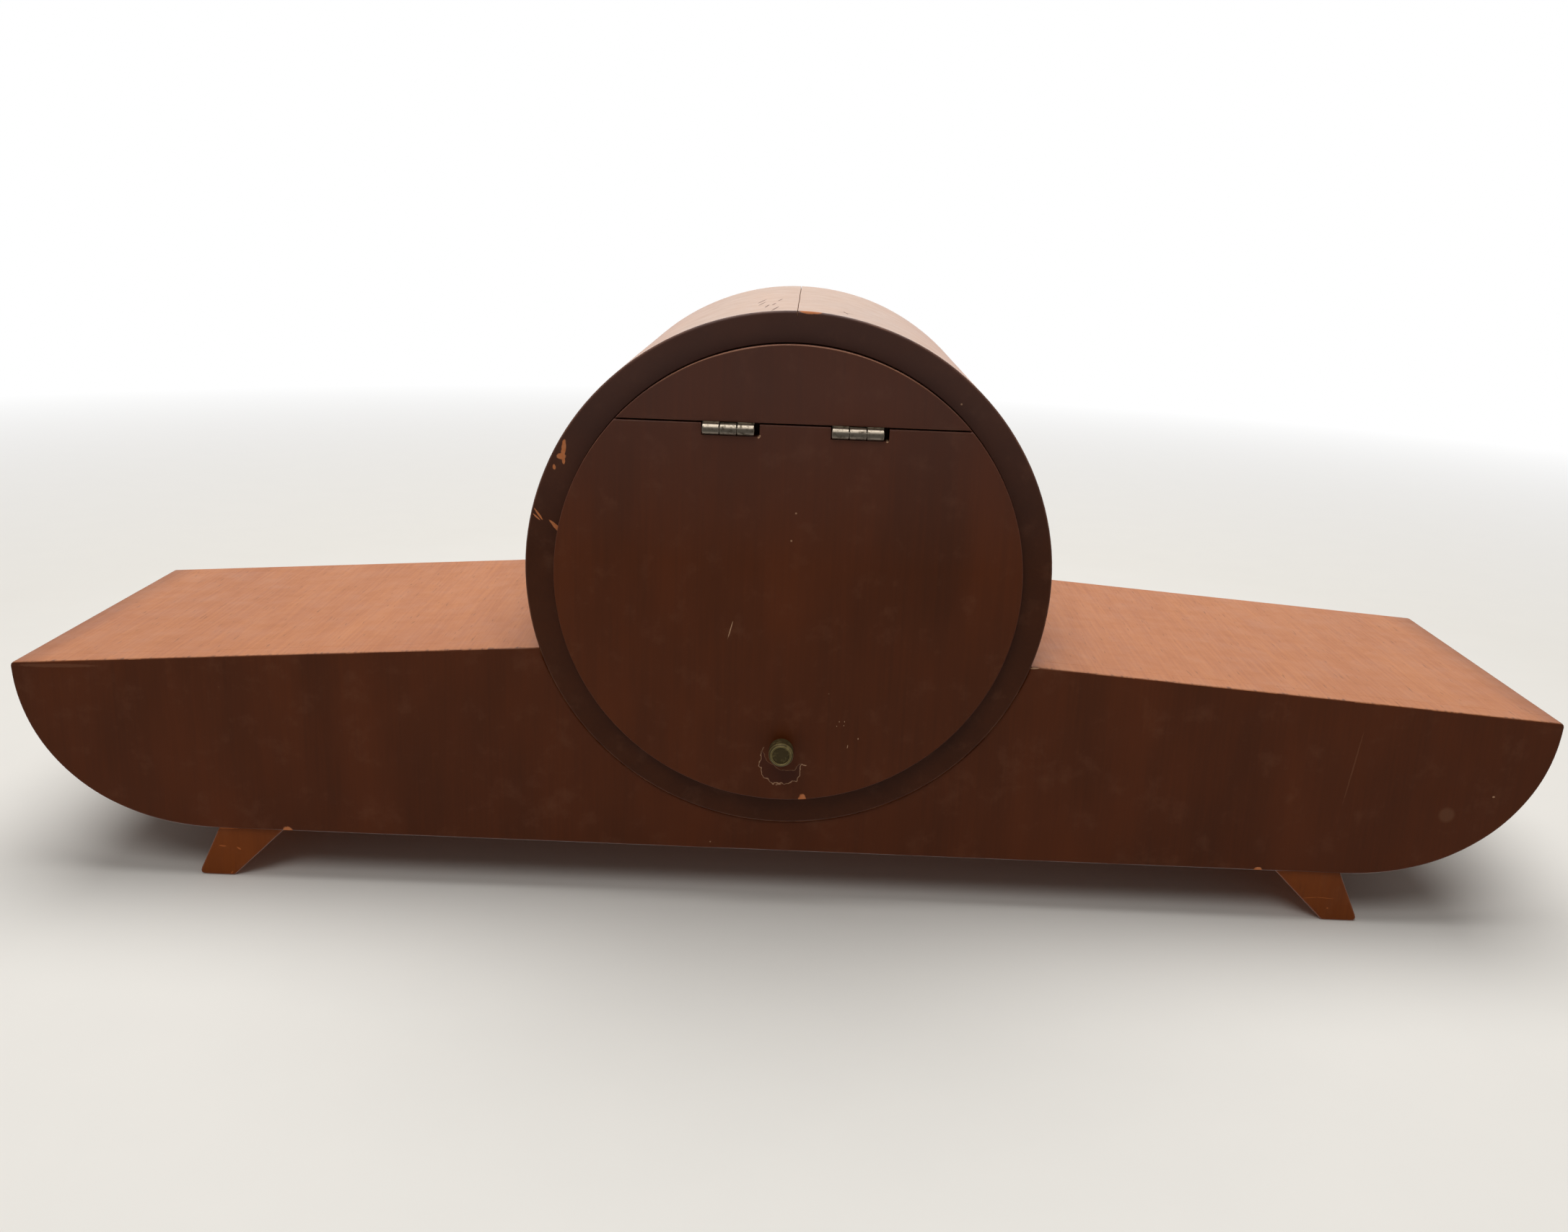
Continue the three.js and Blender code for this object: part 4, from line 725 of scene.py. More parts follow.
        # Flaked top coat under the knob: a dull crescent with a light, torn outline
        torn = add("ShaderNodeVectorMath", (place, shaken(add, place, 3.6 * MM, 5 * MM)), operation="ADD")
        outer = within(add, torn, *KNOB_FLAKE[0])
        inner = add("ShaderNodeMath", (within(add, torn, *KNOB_FLAKE[1]), -1.0), operation="MULTIPLY")
        flaked = add("ShaderNodeMath", (outer, inner), operation="MINIMUM")
        strong = add("ShaderNodeMapRange", (patchy, 0.38, 0.6, 0.08, 0.6))
        rim = add("ShaderNodeMath", (outlined(add, outer, 0.24, inner), strong), operation="MULTIPLY")
        faint = add("ShaderNodeMath", (outlined(add, inner, 0.2, outer), 0.22), operation="MULTIPLY")
        layers += [(colours.flaked, flaked, 0.0, 0.2, 0.5), (colours.scored, rim), (colours.scored, faint)]
    if extra == "base":
        rubs = patches(add, place, BASE_RUBS, wobble, face)
        rubs = add("ShaderNodeMath", (rubs, 0.24), operation="MULTIPLY")
        stain = within(add, place, *ROUND_STAIN)
        layers += [(colours.rubbed, rubs), (colours.scored, stain, -0.4, 0.8, 0.07)]

    height = add("ShaderNodeMath", (fibre, 0.15), operation="MULTIPLY")
    crack = patches(add, place, HOOP_CRACKS, wobble) if extra == "hoop" else 0.0
    gone = patches(add, place, chips, wobble, face)
    pale = add("ShaderNodeMath", (fibre, 0.4), operation="MULTIPLY")
    bare = add("ShaderNodeMix", {0: pale, 6: colours.bare, 7: colours.scored}, 2, data_type="RGBA")
    split = add("ShaderNodeMath", (crack, 0.85), operation="MULTIPLY")
    tone = layered(add, tones[0], [*layers, (colours.stain_deep, split), (bare, gone)])
    opened = add("ShaderNodeMath", (crack, gone), operation="MAXIMUM")
    for depth in (add("ShaderNodeMath", (pore, 0.6), operation="MULTIPLY"), opened):
        height = add("ShaderNodeMath", (height, depth), operation="SUBTRACT")
    bump = add("ShaderNodeBump", {"Height": height, "Strength": 0.2, "Distance": 0.25 * MM})
    finish = add("ShaderNodeMapRange", (smudges, 0.3, 0.7, roughness - 0.05, roughness + 0.08))
    dry = add("ShaderNodeMath", (opened, 0.8), operation="MULTIPLY")
    finish = add("ShaderNodeMath", (finish, dry), operation="MAXIMUM")
    look = {"Base Color": tone, "Roughness": finish, "Normal": bump, "Specular IOR Level": shine, "IOR": 1.5}
    add("ShaderNodeOutputMaterial", (add("ShaderNodeBsdfPrincipled", look),))
    return material


def raw_wood(name):
    """Planed beech without a finish."""
    colours = bpy.context.scene.clock_colours
    material, add, place = blank(name)
    # Fibres drawn 1.2 mm wide, four times as coarse as real ones
    stretch = (1 / (30 * MM), 1 / (1.2 * MM), 1 / (1.2 * MM))
    drawn = add("ShaderNodeMapping", {"Vector": place, "Scale": stretch})
    fibre = add("ShaderNodeTexNoise", {"Vector": drawn, "Scale": 1.0, "Detail": 4.0})
    clouds = add("ShaderNodeTexNoise", {"Vector": place, "Scale": 1 / (40 * MM), "Detail": 3.0})
    layers = [(colours.top_warm, fibre, 0.3, 0.7, 0.45), (colours.rubbed, clouds, 0.45, 0.75, 0.5)]
    tone = layered(add, colours.raw, layers)
    bump = add("ShaderNodeBump", {"Height": fibre, "Strength": 0.3, "Distance": 0.3 * MM})
    finish = add("ShaderNodeMapRange", (fibre, 0.3, 0.7, 0.7, 0.85))
    look = {"Base Color": tone, "Roughness": finish, "Normal": bump, "Specular IOR Level": 0.3}
    add("ShaderNodeOutputMaterial", (add("ShaderNodeBsdfPrincipled", look),))
    return material


# Metal, paint and glass

def metal(name, tone, tarnish, roughness, cover, patch, brushed=None, cleanness=1.0):
    """Bare metal under a film of tarnish that covers a share of it, in patches of a size in millimetres."""
    material, add, place = blank(name)
    spots = {"Vector": place, "Scale": 1 / (patch * MM), "Detail": 5.0, "Roughness": 0.65}
    limits = (0.75 - 0.5 * cover, 0.85 - 0.3 * cover)
    film = add("ShaderNodeMapRange", (add("ShaderNodeTexNoise", spots), *limits, 0.0, 0.9))
    worn = add("ShaderNodeAttribute", out="Fac", attribute_name="worn")
    kept = add("ShaderNodeMapRange", (worn, 0.2, 0.9, 1.0, 0.25))
    film = add("ShaderNodeMath", (film, kept), operation="MULTIPLY")
    # Tool marks are drawn 0.4 mm wide, or 1.1 mm across where they run to no side, so that they show
    fine, long = 1 / (0.4 * MM), 1 / (120 * MM)
    even = (1 / (1.1 * MM),) * 3
    stretch = even if brushed is None else [long if axis == brushed else fine for axis in range(3)]
    marks = add("ShaderNodeMapping", {"Vector": place, "Scale": stretch})
    lines = add("ShaderNodeTexNoise", {"Vector": marks, "Scale": 1.0, "Detail": 2.0})
    finish = add("ShaderNodeMapRange", (lines, 0.3, 0.7, roughness - 0.06, roughness + 0.06))
    finish = add("ShaderNodeMath", (film, 0.22, finish), operation="MULTIPLY_ADD")
    bump = add("ShaderNodeBump", {"Height": lines, "Strength": 0.08, "Distance": 0.05 * MM})
    look = {"Base Color": layered(add, tone, [(tarnish, film)]), "Metallic": cleanness}
    look.update({"Roughness": finish, "Normal": bump})
    add("ShaderNodeOutputMaterial", (add("ShaderNodeBsdfPrincipled", look),))
    return material


def coated(name, tone, shade, roughness, grit, relief):
    """A dull coat or skin with a slight unevenness of a given grit in millimetres."""
    material, add, place = blank(name)
    patch = add("ShaderNodeTexNoise", {"Vector": place, "Scale": 1 / (20 * MM), "Detail": 4.0})
    grain = add("ShaderNodeTexNoise", {"Vector": place, "Scale": 1 / (grit * MM), "Detail": 3.0})
    skin = layered(add, tone, [(shade, patch, 0.4, 0.75, 0.8)])
    bump = add("ShaderNodeBump", {"Height": grain, "Strength": relief, "Distance": 0.2 * MM})
    finish = add("ShaderNodeMapRange", (grain, 0.3, 0.7, roughness - 0.06, roughness + 0.06))
    look = {"Base Color": skin, "Roughness": finish, "Normal": bump}
    add("ShaderNodeOutputMaterial", (add("ShaderNodeBsdfPrincipled", look),))
    return material


def clear_glass(name):
    """Moulded window glass with faint smears."""
    material, add, place = blank(name)
    clouds = add("ShaderNodeTexNoise", {"Vector": place, "Scale": 1 / (18 * MM), "Detail": 3.0})
    smears = add("ShaderNodeMapRange", (clouds, 0.4, 0.7, 0.0, 0.04))
    look = {"Base Color": (1, 1, 1, 1), "Roughness": smears, "IOR": 1.5, "Transmission Weight": 1.0}
    add("ShaderNodeOutputMaterial", (add("ShaderNodeBsdfPrincipled", look),))
    return material


def make_finishes():
    """Makes each finish of the clock once."""
    colours = bpy.context.scene.clock_colours
    dark = (colours.stain_deep, colours.stain_warm)
    light = (colours.top_deep, colours.top_warm)
    reddish = (linear("#6b3104"), linear("#843f08"))
    deeper = (linear("#3d1c09"), linear("#4f250b"))
    brown, film, olive = linear("#5a4222"), linear("#4a443c"), linear("#3f3118")
    # Stained beech under old satin lacquer: a dark, even brown with soft reflections, edges rubbed lighter,
    # light scratches and orange bare wood where the lacquer has chipped off
    foot_back = BOXES["foot_left"][1].y
    for kind, grain, tones, roughness, pores, face, chips, lines in (
        ("base", 2, dark, 0.42, 0.1, BASE_BACK, BASE_CHIPS, BASE_LINES),
        ("rim", 1, deeper, 0.42, 0.0, DRUM_BACK, RIM_CHIPS, ()),
        ("door", 2, dark, 0.42, 0.1, DISC_BACK, DOOR_CHIPS, DOOR_LINES),
        ("feet", 2, reddish, 0.5, 0.2, foot_back, (), FOOT_LINES),
    ):
        name = "stained_beech_" + kind
        FINISHES[kind] = stained_wood(name, grain, tones, roughness, 0.22, pores, kind, face, chips, lines)
    # The same beech on the upper faces and round the hoop, partly faded by light and partly painted lighter as
    # painted light from above: salmon tan with short dark pores and a pale sheen
    FINISHES["top"] = stained_wood("faded_and_lit_beech_top", 1, light, 0.5, 0.3, 0.45, "top")
    FINISHES["hoop"] = stained_wood("faded_and_lit_beech_hoop", 1, light, 0.36, 0.7, 0.3, "hoop")
    # Planed beech inside the case: dry and pale, with darker fibres along the grain and no shine
    FINISHES["raw"] = raw_wood("raw_beech")
    # Rolled brass, brushed from side to side: soft yellow with fine lines and a few brown patches
    FINISHES["brass"] = metal("brushed_brass", colours.brass, brown, 0.3, 0.15, 12, 0)
    # Spun and lacquered brass: a clean golden gloss
    FINISHES["bezel"] = metal("lacquered_brass", colours.bezel_brass, brown, 0.2, 0.1, 15)
    # Turned brass gone dull in the air: olive patina that is brighter where fingers rub the edge
    FINISHES["knob"] = metal("patinated_brass", colours.old_brass, olive, 0.42, 1.25, 3, cleanness=0.6)
    # Turned steel: bright grey with a slight film
    FINISHES["steel"] = metal("turned_steel", colours.steel, film, 0.26, 0.12, 8)
    # Rolled hinge steel with worn plating: warm grey, bright along the knuckles and brown in between
    FINISHES["hinge"] = metal("tarnished_steel", colours.old_steel, linear("#443829"), 0.36, 0.5, 1.6, 0)
    # Heat-blued steel: nearly black, with a blue gloss
    FINISHES["blued"] = metal("blued_steel", colours.blued, linear("#2a2440"), 0.22, 0.3, 15)
    # Sand-cast iron under black paint: rough and dull
    FINISHES["iron"] = coated("black_cast_iron", colours.iron, linear("#3a332c"), 0.62, 1.2, 0.9)
    # Sprayed cream paint on the dial, a little yellowed in clouds
    FINISHES["paint"] = coated("cream_dial_paint", colours.paint, linear("#dccfae"), 0.42, 0.6, 0.05)
    # Printed black ink, flat and slightly uneven
    FINISHES["ink"] = coated("black_dial_ink", colours.ink, linear("#26221e"), 0.5, 0.5, 0.05)
    # Pressed hide on the hammers: brown, fibrous and without shine
    FINISHES["leather"] = coated("hammer_leather", colours.leather, linear("#5f3f22"), 0.75, 0.8, 0.6)
    # Moulded glass: clear, and seen by its reflections
    FINISHES["glass"] = clear_glass("clear_glass")


# Repeats

def begun(name, inputs):
    """A geometry node tree with named inputs: the tree, the function that adds its nodes and its inputs."""
    tree = bpy.data.node_groups.new(name, "GeometryNodeTree")
    for title, kind in inputs:
        tree.interface.new_socket(title, in_out="INPUT", socket_type=kind)
    tree.interface.new_socket("Geometry", in_out="OUTPUT", socket_type="NodeSocketGeometry")
    return tree, adder(tree), tree.nodes.new("NodeGroupInput").outputs


def ended(add, copies, material):
    """Ends a tree: the copies become one mesh with one material."""
    real = add("GeometryNodeRealizeInstances", {"Geometry": copies})
    painted = add("GeometryNodeSetMaterial", {"Geometry": real, "Material": material})
    add("NodeGroupOutput", {"Geometry": painted})


def marks_tree():
    """Small bars that point outwards from a circle in the plane of the dial."""
    tree, add, given = begun("ring of marks", [
        ("Geometry", "NodeSocketGeometry"),
        ("Count", "NodeSocketInt"),
        ("Radius", "NodeSocketFloat"),
        ("Size", "NodeSocketVector"),
        ("Middle", "NodeSocketVector"),
        ("Material", "NodeSocketMaterial"),
    ])
    step = add("ShaderNodeMath", (math.tau, given["Count"]), operation="DIVIDE")
    turn = add("ShaderNodeMath", (add("GeometryNodeInputIndex"), step), operation="MULTIPLY")
    outwards = add("ShaderNodeCombineXYZ", {"X": given["Radius"]})
    spot = add("ShaderNodeVectorRotate", {"Vector": outwards, "Angle": turn}, rotation_type="Z_AXIS")
    points = add("GeometryNodePoints", {"Count": given["Count"], "Position": spot})
    bar = add("GeometryNodeMeshCube", {"Size": given["Size"]})
    angles = add("ShaderNodeCombineXYZ", {"Z": turn})
    placed = add("GeometryNodeInstanceOnPoints", {"Points": points, "Instance": bar, "Rotation": angles})
    upright = {"Geometry": placed, "Translation": given["Middle"], "Rotation": (math.pi / 2, 0, 0)}
    ended(add, add("GeometryNodeTransform", upright), given["Material"])
    return tree


def copies_tree():
    """Copies of one fitting at points, each turned about its own axis along Y."""
    tree, add, given = begun("copies at points", [
        ("Geometry", "NodeSocketGeometry"),
        ("Fitting", "NodeSocketObject"),
        ("Seed", "NodeSocketInt"),
        ("Material", "NodeSocketMaterial"),
    ])
    fitting = add("GeometryNodeObjectInfo", {"Object": given["Fitting"]}, "Geometry")
    any_turn = {"Max": (0, math.tau, 0), "Seed": given["Seed"]}
    spin = add("FunctionNodeRandomValue", any_turn, data_type="FLOAT_VECTOR")
    placed = {"Points": given["Geometry"], "Instance": fitting, "Rotation": spin}
    ended(add, add("GeometryNodeInstanceOnPoints", placed), given["Material"])
    return tree


def grown(name, tree, values, points=()):
    """A plain mesh object made by a node tree from its named inputs."""
    mesh = bpy.data.meshes.new(name)
    mesh.from_pydata([Vector(point) for point in points], [], [])
    made = linked(name, mesh)
    grow = made.modifiers.new("grow", "NODES")
    grow.node_group = tree
    for socket in tree.interface.items_tree:
        if socket.in_out == "INPUT" and socket.name in values:
            grow[socket.identifier] = values[socket.name]
    return baked(made)


def screw_fitting(radius):
    """A cheese-head screw whose head points along +Y, with its slot."""
    tall, half = 0.75 * radius, 0.12 * radius
    corners = [(0, 0), (radius, 0), (radius, 0.75 * tall), (0.7 * radius, tall), (0, tall)]
    head = turned_solid(Shell(), corners, 0.12 * radius, along_y(), 20)
    slot = block(Shell(), (-2 * radius, 0.5 * tall, -half), (2 * radius, 2 * tall, half), 0.02 * radius)
    return carved(built("screw", head), built("slot", slot))


def scattered(name, tree, fitting, points, finish, seed, slot):
    """Copies of a fitting at points of the case, as one piece."""
    values = {"Fitting": fitting, "Seed": seed, "Material": FINISHES[finish]}
    made = grown(name, tree, values, points)
    removed(fitting)
    fitted(made, finish, body="case", slot=slot)


# Base

TIP_ROUND = 1.6 * MM
TIP_STEPS = 4
END_STEPS = 40
TIP_JOINT = 2  # step of the end curve at which the top board ends and the bottom board begins
TOP_POINTS = TIP_STEPS + TIP_JOINT  # points of an end curve that the top board has
INNER_START = 4  # point of the inner end curve at which the bottom board begins
HALVINGS = 40  # steps of the search for the point where the drum meets a board
PANEL_STEP = 5 * MM
BOARD_STEP = 8 * MM
FOOT_STEP = 4 * MM
HIDDEN_EDGE = 1 / 7  # rounding of an edge that another board covers, against an open edge


def top_height(x):
    return TIP_HEIGHT + TOP_RISE * (1 - abs(x) / HALF_LENGTH)


def end_curve(side, wall):
    """One end from its tip to the flat underside, drawn in by a wall; the outer tip is a little blunt."""
    line = []
    if wall == 0:
        centre = (HALF_LENGTH - TIP_ROUND, TIP_HEIGHT - TIP_ROUND)
        blunt = arc(centre, TIP_ROUND, math.pi / 2, 0, TIP_STEPS - 1)
        line = [Vector((side * point.x, point.y)) for point in blunt]
    for step in range(1 if line else 0, END_STEPS + 1):
        turn = math.pi / 2 * step / END_STEPS
        out = (END_RUN - wall) * math.cos(turn) ** (2 / END_POWER)
        down = (SIDE_HEIGHT - wall) * math.sin(turn) ** (2 / END_POWER)
        line.append(Vector((side * (FLAT_HALF + out), TIP_HEIGHT - down)))
    return line


def drum_meets(depth):
    """Half width at which the drum meets a line that lies a depth below the top of the base."""
    radius = DRUM_RADIUS + DRUM_GAP
    low, high = 0.5 * radius, radius
    for _ in range(HALVINGS):
        middle = (low + high) / 2
        rise = top_height(middle) - depth - CENTRE_Z
        low, high = (middle, high) if math.hypot(middle, rise) < radius else (low, middle)
    return low


def panel_outline():
    """The boat outline, with the round cut for the drum."""
    meets = drum_meets(0)
    start = math.atan2(top_height(meets) - CENTRE_Z, meets)
    bottom = arc((0, CENTRE_Z), DRUM_RADIUS + DRUM_GAP, math.pi - start, math.tau + start, 72)
    return bottom + end_curve(1, 0) + end_curve(-1, 0)[::-1]


def side_of_board(face):
    """0 for the outside of a board, 1 for its inside and 2 for its upward faces, which are partly faded and partly
    painted lighter as painted light from above.
    """
    if face.normal.z > 0.6:
        return 2
    inside = INNER_FRONT - MM < face.center.y < INNER_BACK + MM
    return int(inside and (abs(face.normal.y) > 0.9 or face.normal.z < -0.6))


def side_of_bottom(face):
    """0 for the outside of the bent bottom board and 1 for its inside."""
    return int(face.normal.z > 0.2)


class CLOCK_OT_base(bpy.types.Operator):
    """Boards of the boat-shaped base, with worn edges and a top that is partly faded and partly painted lighter as
    painted light
    """

    bl_idname = "clock.base"
    bl_label = "Base"

    def execute(self, context):
        edge = context.scene.clock_sizes.board_edge
        fine = edge * HIDDEN_EDGE
        panel = closely(panel_outline(), PANEL_STEP)
        self.board("base_back_panel", panel, (INNER_BACK, BASE_BACK), (fine, edge))
        self.board("base_front_panel", panel, (BASE_FRONT, INNER_FRONT), (edge, fine))
        near, under = drum_meets(0), drum_meets(BOARD)
        between, edges = (INNER_FRONT, INNER_BACK), (fine, fine)
        for node, side in (("base_top_board_left", 1), ("base_top_board_right", -1)):
            inner_end = flat([
                (side * (HALF_LENGTH - BOARD), TIP_HEIGHT - BOARD),
                (side * under, top_height(under) - BOARD),
                (side * near, top_height(near)),
            ])
            corners = end_curve(side, 0)[:TOP_POINTS] + inner_end
            self.board(node, closely(corners, BOARD_STEP), between, edges)
        outer = [end_curve(side, 0)[TOP_POINTS - 1:] for side in (1, -1)]
        inner = [end_curve(side, BOARD)[INNER_START:] for side in (-1, 1)]
        outline = outer[0] + outer[1][::-1] + inner[0] + inner[1][::-1]
        self.board("base_bottom_board", outline, between, edges, side_of_bottom)
        return {"FINISHED"}

    def board(self, node, outline, levels, edges, choose=side_of_board):
        shell = plate(Shell(), outline, *levels, edges, along_y(), uneven=0.5)
        finished(node, shell, ["base", "raw", "top"], choose)


class CLOCK_OT_feet(bpy.types.Operator):
    """Two splayed feet with rounded corners"""

    bl_idname = "clock.feet"
    bl_label = "Feet"

    def execute(self, context):
        edge = context.scene.clock_sizes.foot_edge
        foot_top, sole, splay = 26.5 * MM, 14.5 * MM, 10 * MM
        for node, side in (("foot_left", 1), ("foot_right", -1)):
            low, high = BOXES[node]
            corners = flat([
                (side * (FLAT_HALF - foot_top), high.z),
                (side * FLAT_HALF, high.z),
                (side * (FLAT_HALF + splay), low.z),
                (side * (FLAT_HALF + splay - sole), low.z),
            ])
            sole_corner = 2.3 * edge
            rounded = softened(corners, [0, 0, sole_corner, sole_corner])
            outline = closely([point for point, _ in rounded], FOOT_STEP)
            shell = plate(Shell(), outline, low.y, high.y, (edge, edge), along_y(), uneven=0.4)
            finished(node, shell, "feet")
        return {"FINISHED"}


# Drum

HOOP_STEP = 6 * MM
HOOP_WAVES = 0.12 * MM  # how far the hoop is from true
WAVES_ROUND = 3  # patches of unevenness round the hoop, on a circle of radius 1
WAVES_ALONG = 12  # patches of unevenness from front to back, per metre
SEAM_BENDS = 30  # bends of the seam from front to back, per metre
DIAL_OPENING = 46 * MM
LEDGE_WIDTH = 10.3 * MM
NEAR = 1e-6


def faces_back(face):
    return int(face.normal.y > 0.5)


def faces_inwards(face):
    return int(face.normal.y < -0.9)


class CLOCK_OT_drum(bpy.types.Operator):
    """Bent hoop with its open butt seam and worn rims, the dial board and the ledge for the door"""

    bl_idname = "clock.drum"
    bl_label = "Drum"

    def execute(self, context):
        sizes = context.scene.clock_sizes
        self.hoop(sizes)
        rings = (("dial_board", "rim", DIAL_OPENING), ("door_ledge", "raw", HOOP_INNER - LEDGE_WIDTH))
        for node, finish, inner in rings:
            low, high = BOXES[node]
            ring = tube(Shell(), inner, high.x, low.y, high.y, sizes.door_edge, along_y(0, CENTRE_Z), 96)
            finished(node, ring, [finish, "raw"], faces_back)
        return {"FINISHED"}

    def hoop(self, sizes):
        """A grid round the hoop and round its section, open below into the base."""
        edge, crisp = sizes.rim_edge, sizes.rim_edge / 4
        outer_levels = self.levels(DRUM_FRONT + edge, DRUM_BACK - edge)
        inner_levels = self.levels(DRUM_FRONT + crisp, DISC_FRONT)
        lip = DISC_RADIUS + DRUM_GAP
        rim = [(DRUM_RADIUS, level, 0.0) for level in outer_levels]
        rim += self.corner(DRUM_RADIUS - edge, DRUM_BACK - edge, 0, edge)
        rim += self.corner(lip + crisp, DRUM_BACK - crisp, 1, crisp)
        rim += [(lip, DRUM_BACK - crisp, 0.0), (lip, DISC_FRONT, 0.0)]
        rim += [(HOOP_INNER, level, 0.0) for level in reversed(inner_levels)]
        rim += self.corner(HOOP_INNER + crisp, DRUM_FRONT + crisp, 2, crisp)
        rim += self.corner(DRUM_RADIUS - edge, DRUM_FRONT + edge, 3, edge)
        turns = self.turns(sizes)
        shell = Shell()
        rings = []
        for turn, groove in turns:
            ring = []
            for radius, level, worn in rim:
                angle, reach = turn, radius
                if groove is not None:
                    angle += HOOP_WAVES * noise.noise(Vector((level * SEAM_BENDS, 0, 0))) / DRUM_RADIUS
                if radius > HOOP_INNER + 2 * edge:
                    around = Vector((math.cos(turn), math.sin(turn))) * WAVES_ROUND
                    spot = Vector((*around, level * WAVES_ALONG))
                    reach += HOOP_WAVES * noise.noise(spot) - (sizes.seam_depth if groove == 0 else 0)
                point = Vector((reach * math.cos(angle), level, CENTRE_Z + reach * math.sin(angle)))
                ring += shell.ring([point], worn)
            rings.append(ring)
        self.skin(shell, rings, rim, turns)
        inside = HOOP_INNER + 0.3 * MM

        def choose(face):
            across = math.hypot(face.center.x, face.center.z - CENTRE_Z)
            if across < inside and face.center.y < DISC_FRONT:
                return 1
            return 2 if across > inside and abs(face.normal.y) < 0.2 else 0

        finished("drum_hoop", shell, ["rim", "raw", "hoop"], choose)

    def levels(self, low, high):
        """Levels along the hoop, which include the ends of the opening below."""
        line = [low]
        stops = (low, HOOP_OPEN_FRONT, HOOP_OPEN_BACK, high)
        for start, end in zip(stops, stops[1:]):
            count = max(1, round((end - start) / HOOP_STEP))
            line.extend(start + (end - start) * share / count for share in range(1, count + 1))
        return line

    def corner(self, radius, level, quarter, edge):
        """Points of one rounded corner of the section, from the outside in."""
        points = []
        for step in range(1, 2 * EDGE_STEPS):
            turn = math.pi / 2 * (quarter + step / (2 * EDGE_STEPS))
            worn = math.sin(2 * turn) ** 2
            points.append((radius + edge * math.cos(turn), level + edge * math.sin(turn), worn))
        flat_start = (radius, level + edge * (1 if quarter < 2 else -1), 0.0)
        return points + [flat_start] if quarter in (0, 2) else [flat_start] + points

    def turns(self, sizes):
        """Angles round the hoop, with a narrow groove at the seam and the ends of the opening."""
        half = sizes.seam_width / 2 / DRUM_RADIUS
        seam = math.pi / 2
        opening = (-HOOP_OPEN_ANGLE, math.pi + HOOP_OPEN_ANGLE)
        line = [(seam - half, 1), (seam, 0), (seam + half, 1)]
        stretches = (
            (seam + half, opening[1], 48),
            (opening[1], math.tau + opening[0], 44),
            (opening[0], seam - half, 48),
        )
        for start, end, count in stretches:
            turns = [start + (end - start) * share / count for share in range(1, count + 1)]
            line.extend((turn, None) for turn in turns)
        return line[:-1]

    def skin(self, shell, rings, rim, turns):
        """Faces of the grid, without the opening, and the walls of the opening."""
        count = len(rim)
        low, high = -math.pi + HOOP_OPEN_ANGLE, -HOOP_OPEN_ANGLE

        def below(turn):
            wrapped = (turn + math.pi) % math.tau - math.pi
            return low - NEAR <= wrapped <= high + NEAR

        def opened(k):
            return HOOP_OPEN_FRONT - NEAR < rim[k][1] < HOOP_OPEN_BACK + NEAR

        outer = [k for k in range(count) if rim[k][0] == DRUM_RADIUS]
        inner = [k for k in range(count) if rim[k][0] == HOOP_INNER]

        def at(side, level):
            return min(side, key=lambda k: abs(rim[k][1] - level))

        for index, ring in enumerate(rings):
            following = (index + 1) % len(rings)
            after = rings[following]
            gap = below(turns[index][0]) and below(turns[following][0])
            for k in range(count):
                beside = (k + 1) % count
                if not (gap and opened(k) and opened(beside)):
                    shell.faces.append([ring[k], after[k], after[beside], ring[beside]])
            for level in (HOOP_OPEN_FRONT, HOOP_OPEN_BACK) if gap else ():
                out, into = at(outer, level), at(inner, level)
                shell.faces.append([ring[out], after[out], after[into], ring[into]])
        steps = [k for k in outer if opened(k)]
        for wall in (low, high):
            away = [abs(math.remainder(turn - wall, math.tau)) for turn, _ in turns]
            ring = rings[away.index(min(away))]
            for first, second in zip(steps, steps[1:]):
                across = [at(inner, rim[k][1]) for k in (second, first)]
                shell.faces.append([ring[first], ring[second], ring[across[0]], ring[across[1]]])


# Round back

NOTCH_END = 1.6 * MM  # each hinge's notch runs on towards the right, seen from behind
NOTCH_EDGE = 0.08 * MM
LEAF_ROOM = 0.3 * MM
LEAF_DEPTH = 6.3 * MM
LEAF_SINK = 1.1 * MM
KNOB_HOLE = 2.3 * MM
DISC_STEP = 4 * MM


def hinge_cutters(door):
    """Blocks that make room for the hinges in the door or in the segment above it."""
    cutters = []
    outside, above, below = DISC_BACK + 10 * MM, SEAM + 5 * MM, SEAM - 5 * MM
    for side in ("left", "right"):
        low, high = BOXES[f"hinge_{side}_pin"]
        leaf = BOXES[f"hinge_{side}_{'door' if door else 'case'}_leaf"]
        from_x, to_x = low.x - LEAF_ROOM, high.x + LEAF_ROOM
        floor, inner = leaf[0].z - LEAF_ROOM, leaf[0].y - LEAF_ROOM
        boxes = [((from_x, inner, below), (to_x, DISC_BACK - MM, leaf[1].z + LEAF_ROOM))]
        if door:
            boxes = [
                ((from_x, leaf[0].y + LEAF_DEPTH, floor), (to_x, outside, above)),
                ((from_x - NOTCH_END, leaf[0].y, floor), (from_x + LEAF_ROOM, outside, above)),
                ((from_x, inner, DOOR_TOP - LEAF_SINK), (to_x, outside, above)),
            ]
        cutters += [built("cutter", block(Shell(), *box, NOTCH_EDGE)) for box in boxes]
    return cutters


def chord_outline(level, above):
    """Part of the round back above or below a level line."""
    rise = math.asin((level - CENTRE_Z) / DISC_RADIUS)
    if above:
        return arc((0, CENTRE_Z), DISC_RADIUS, rise, math.pi - rise, 72)
    return arc((0, CENTRE_Z), DISC_RADIUS, math.pi - rise, math.tau + rise, 150)


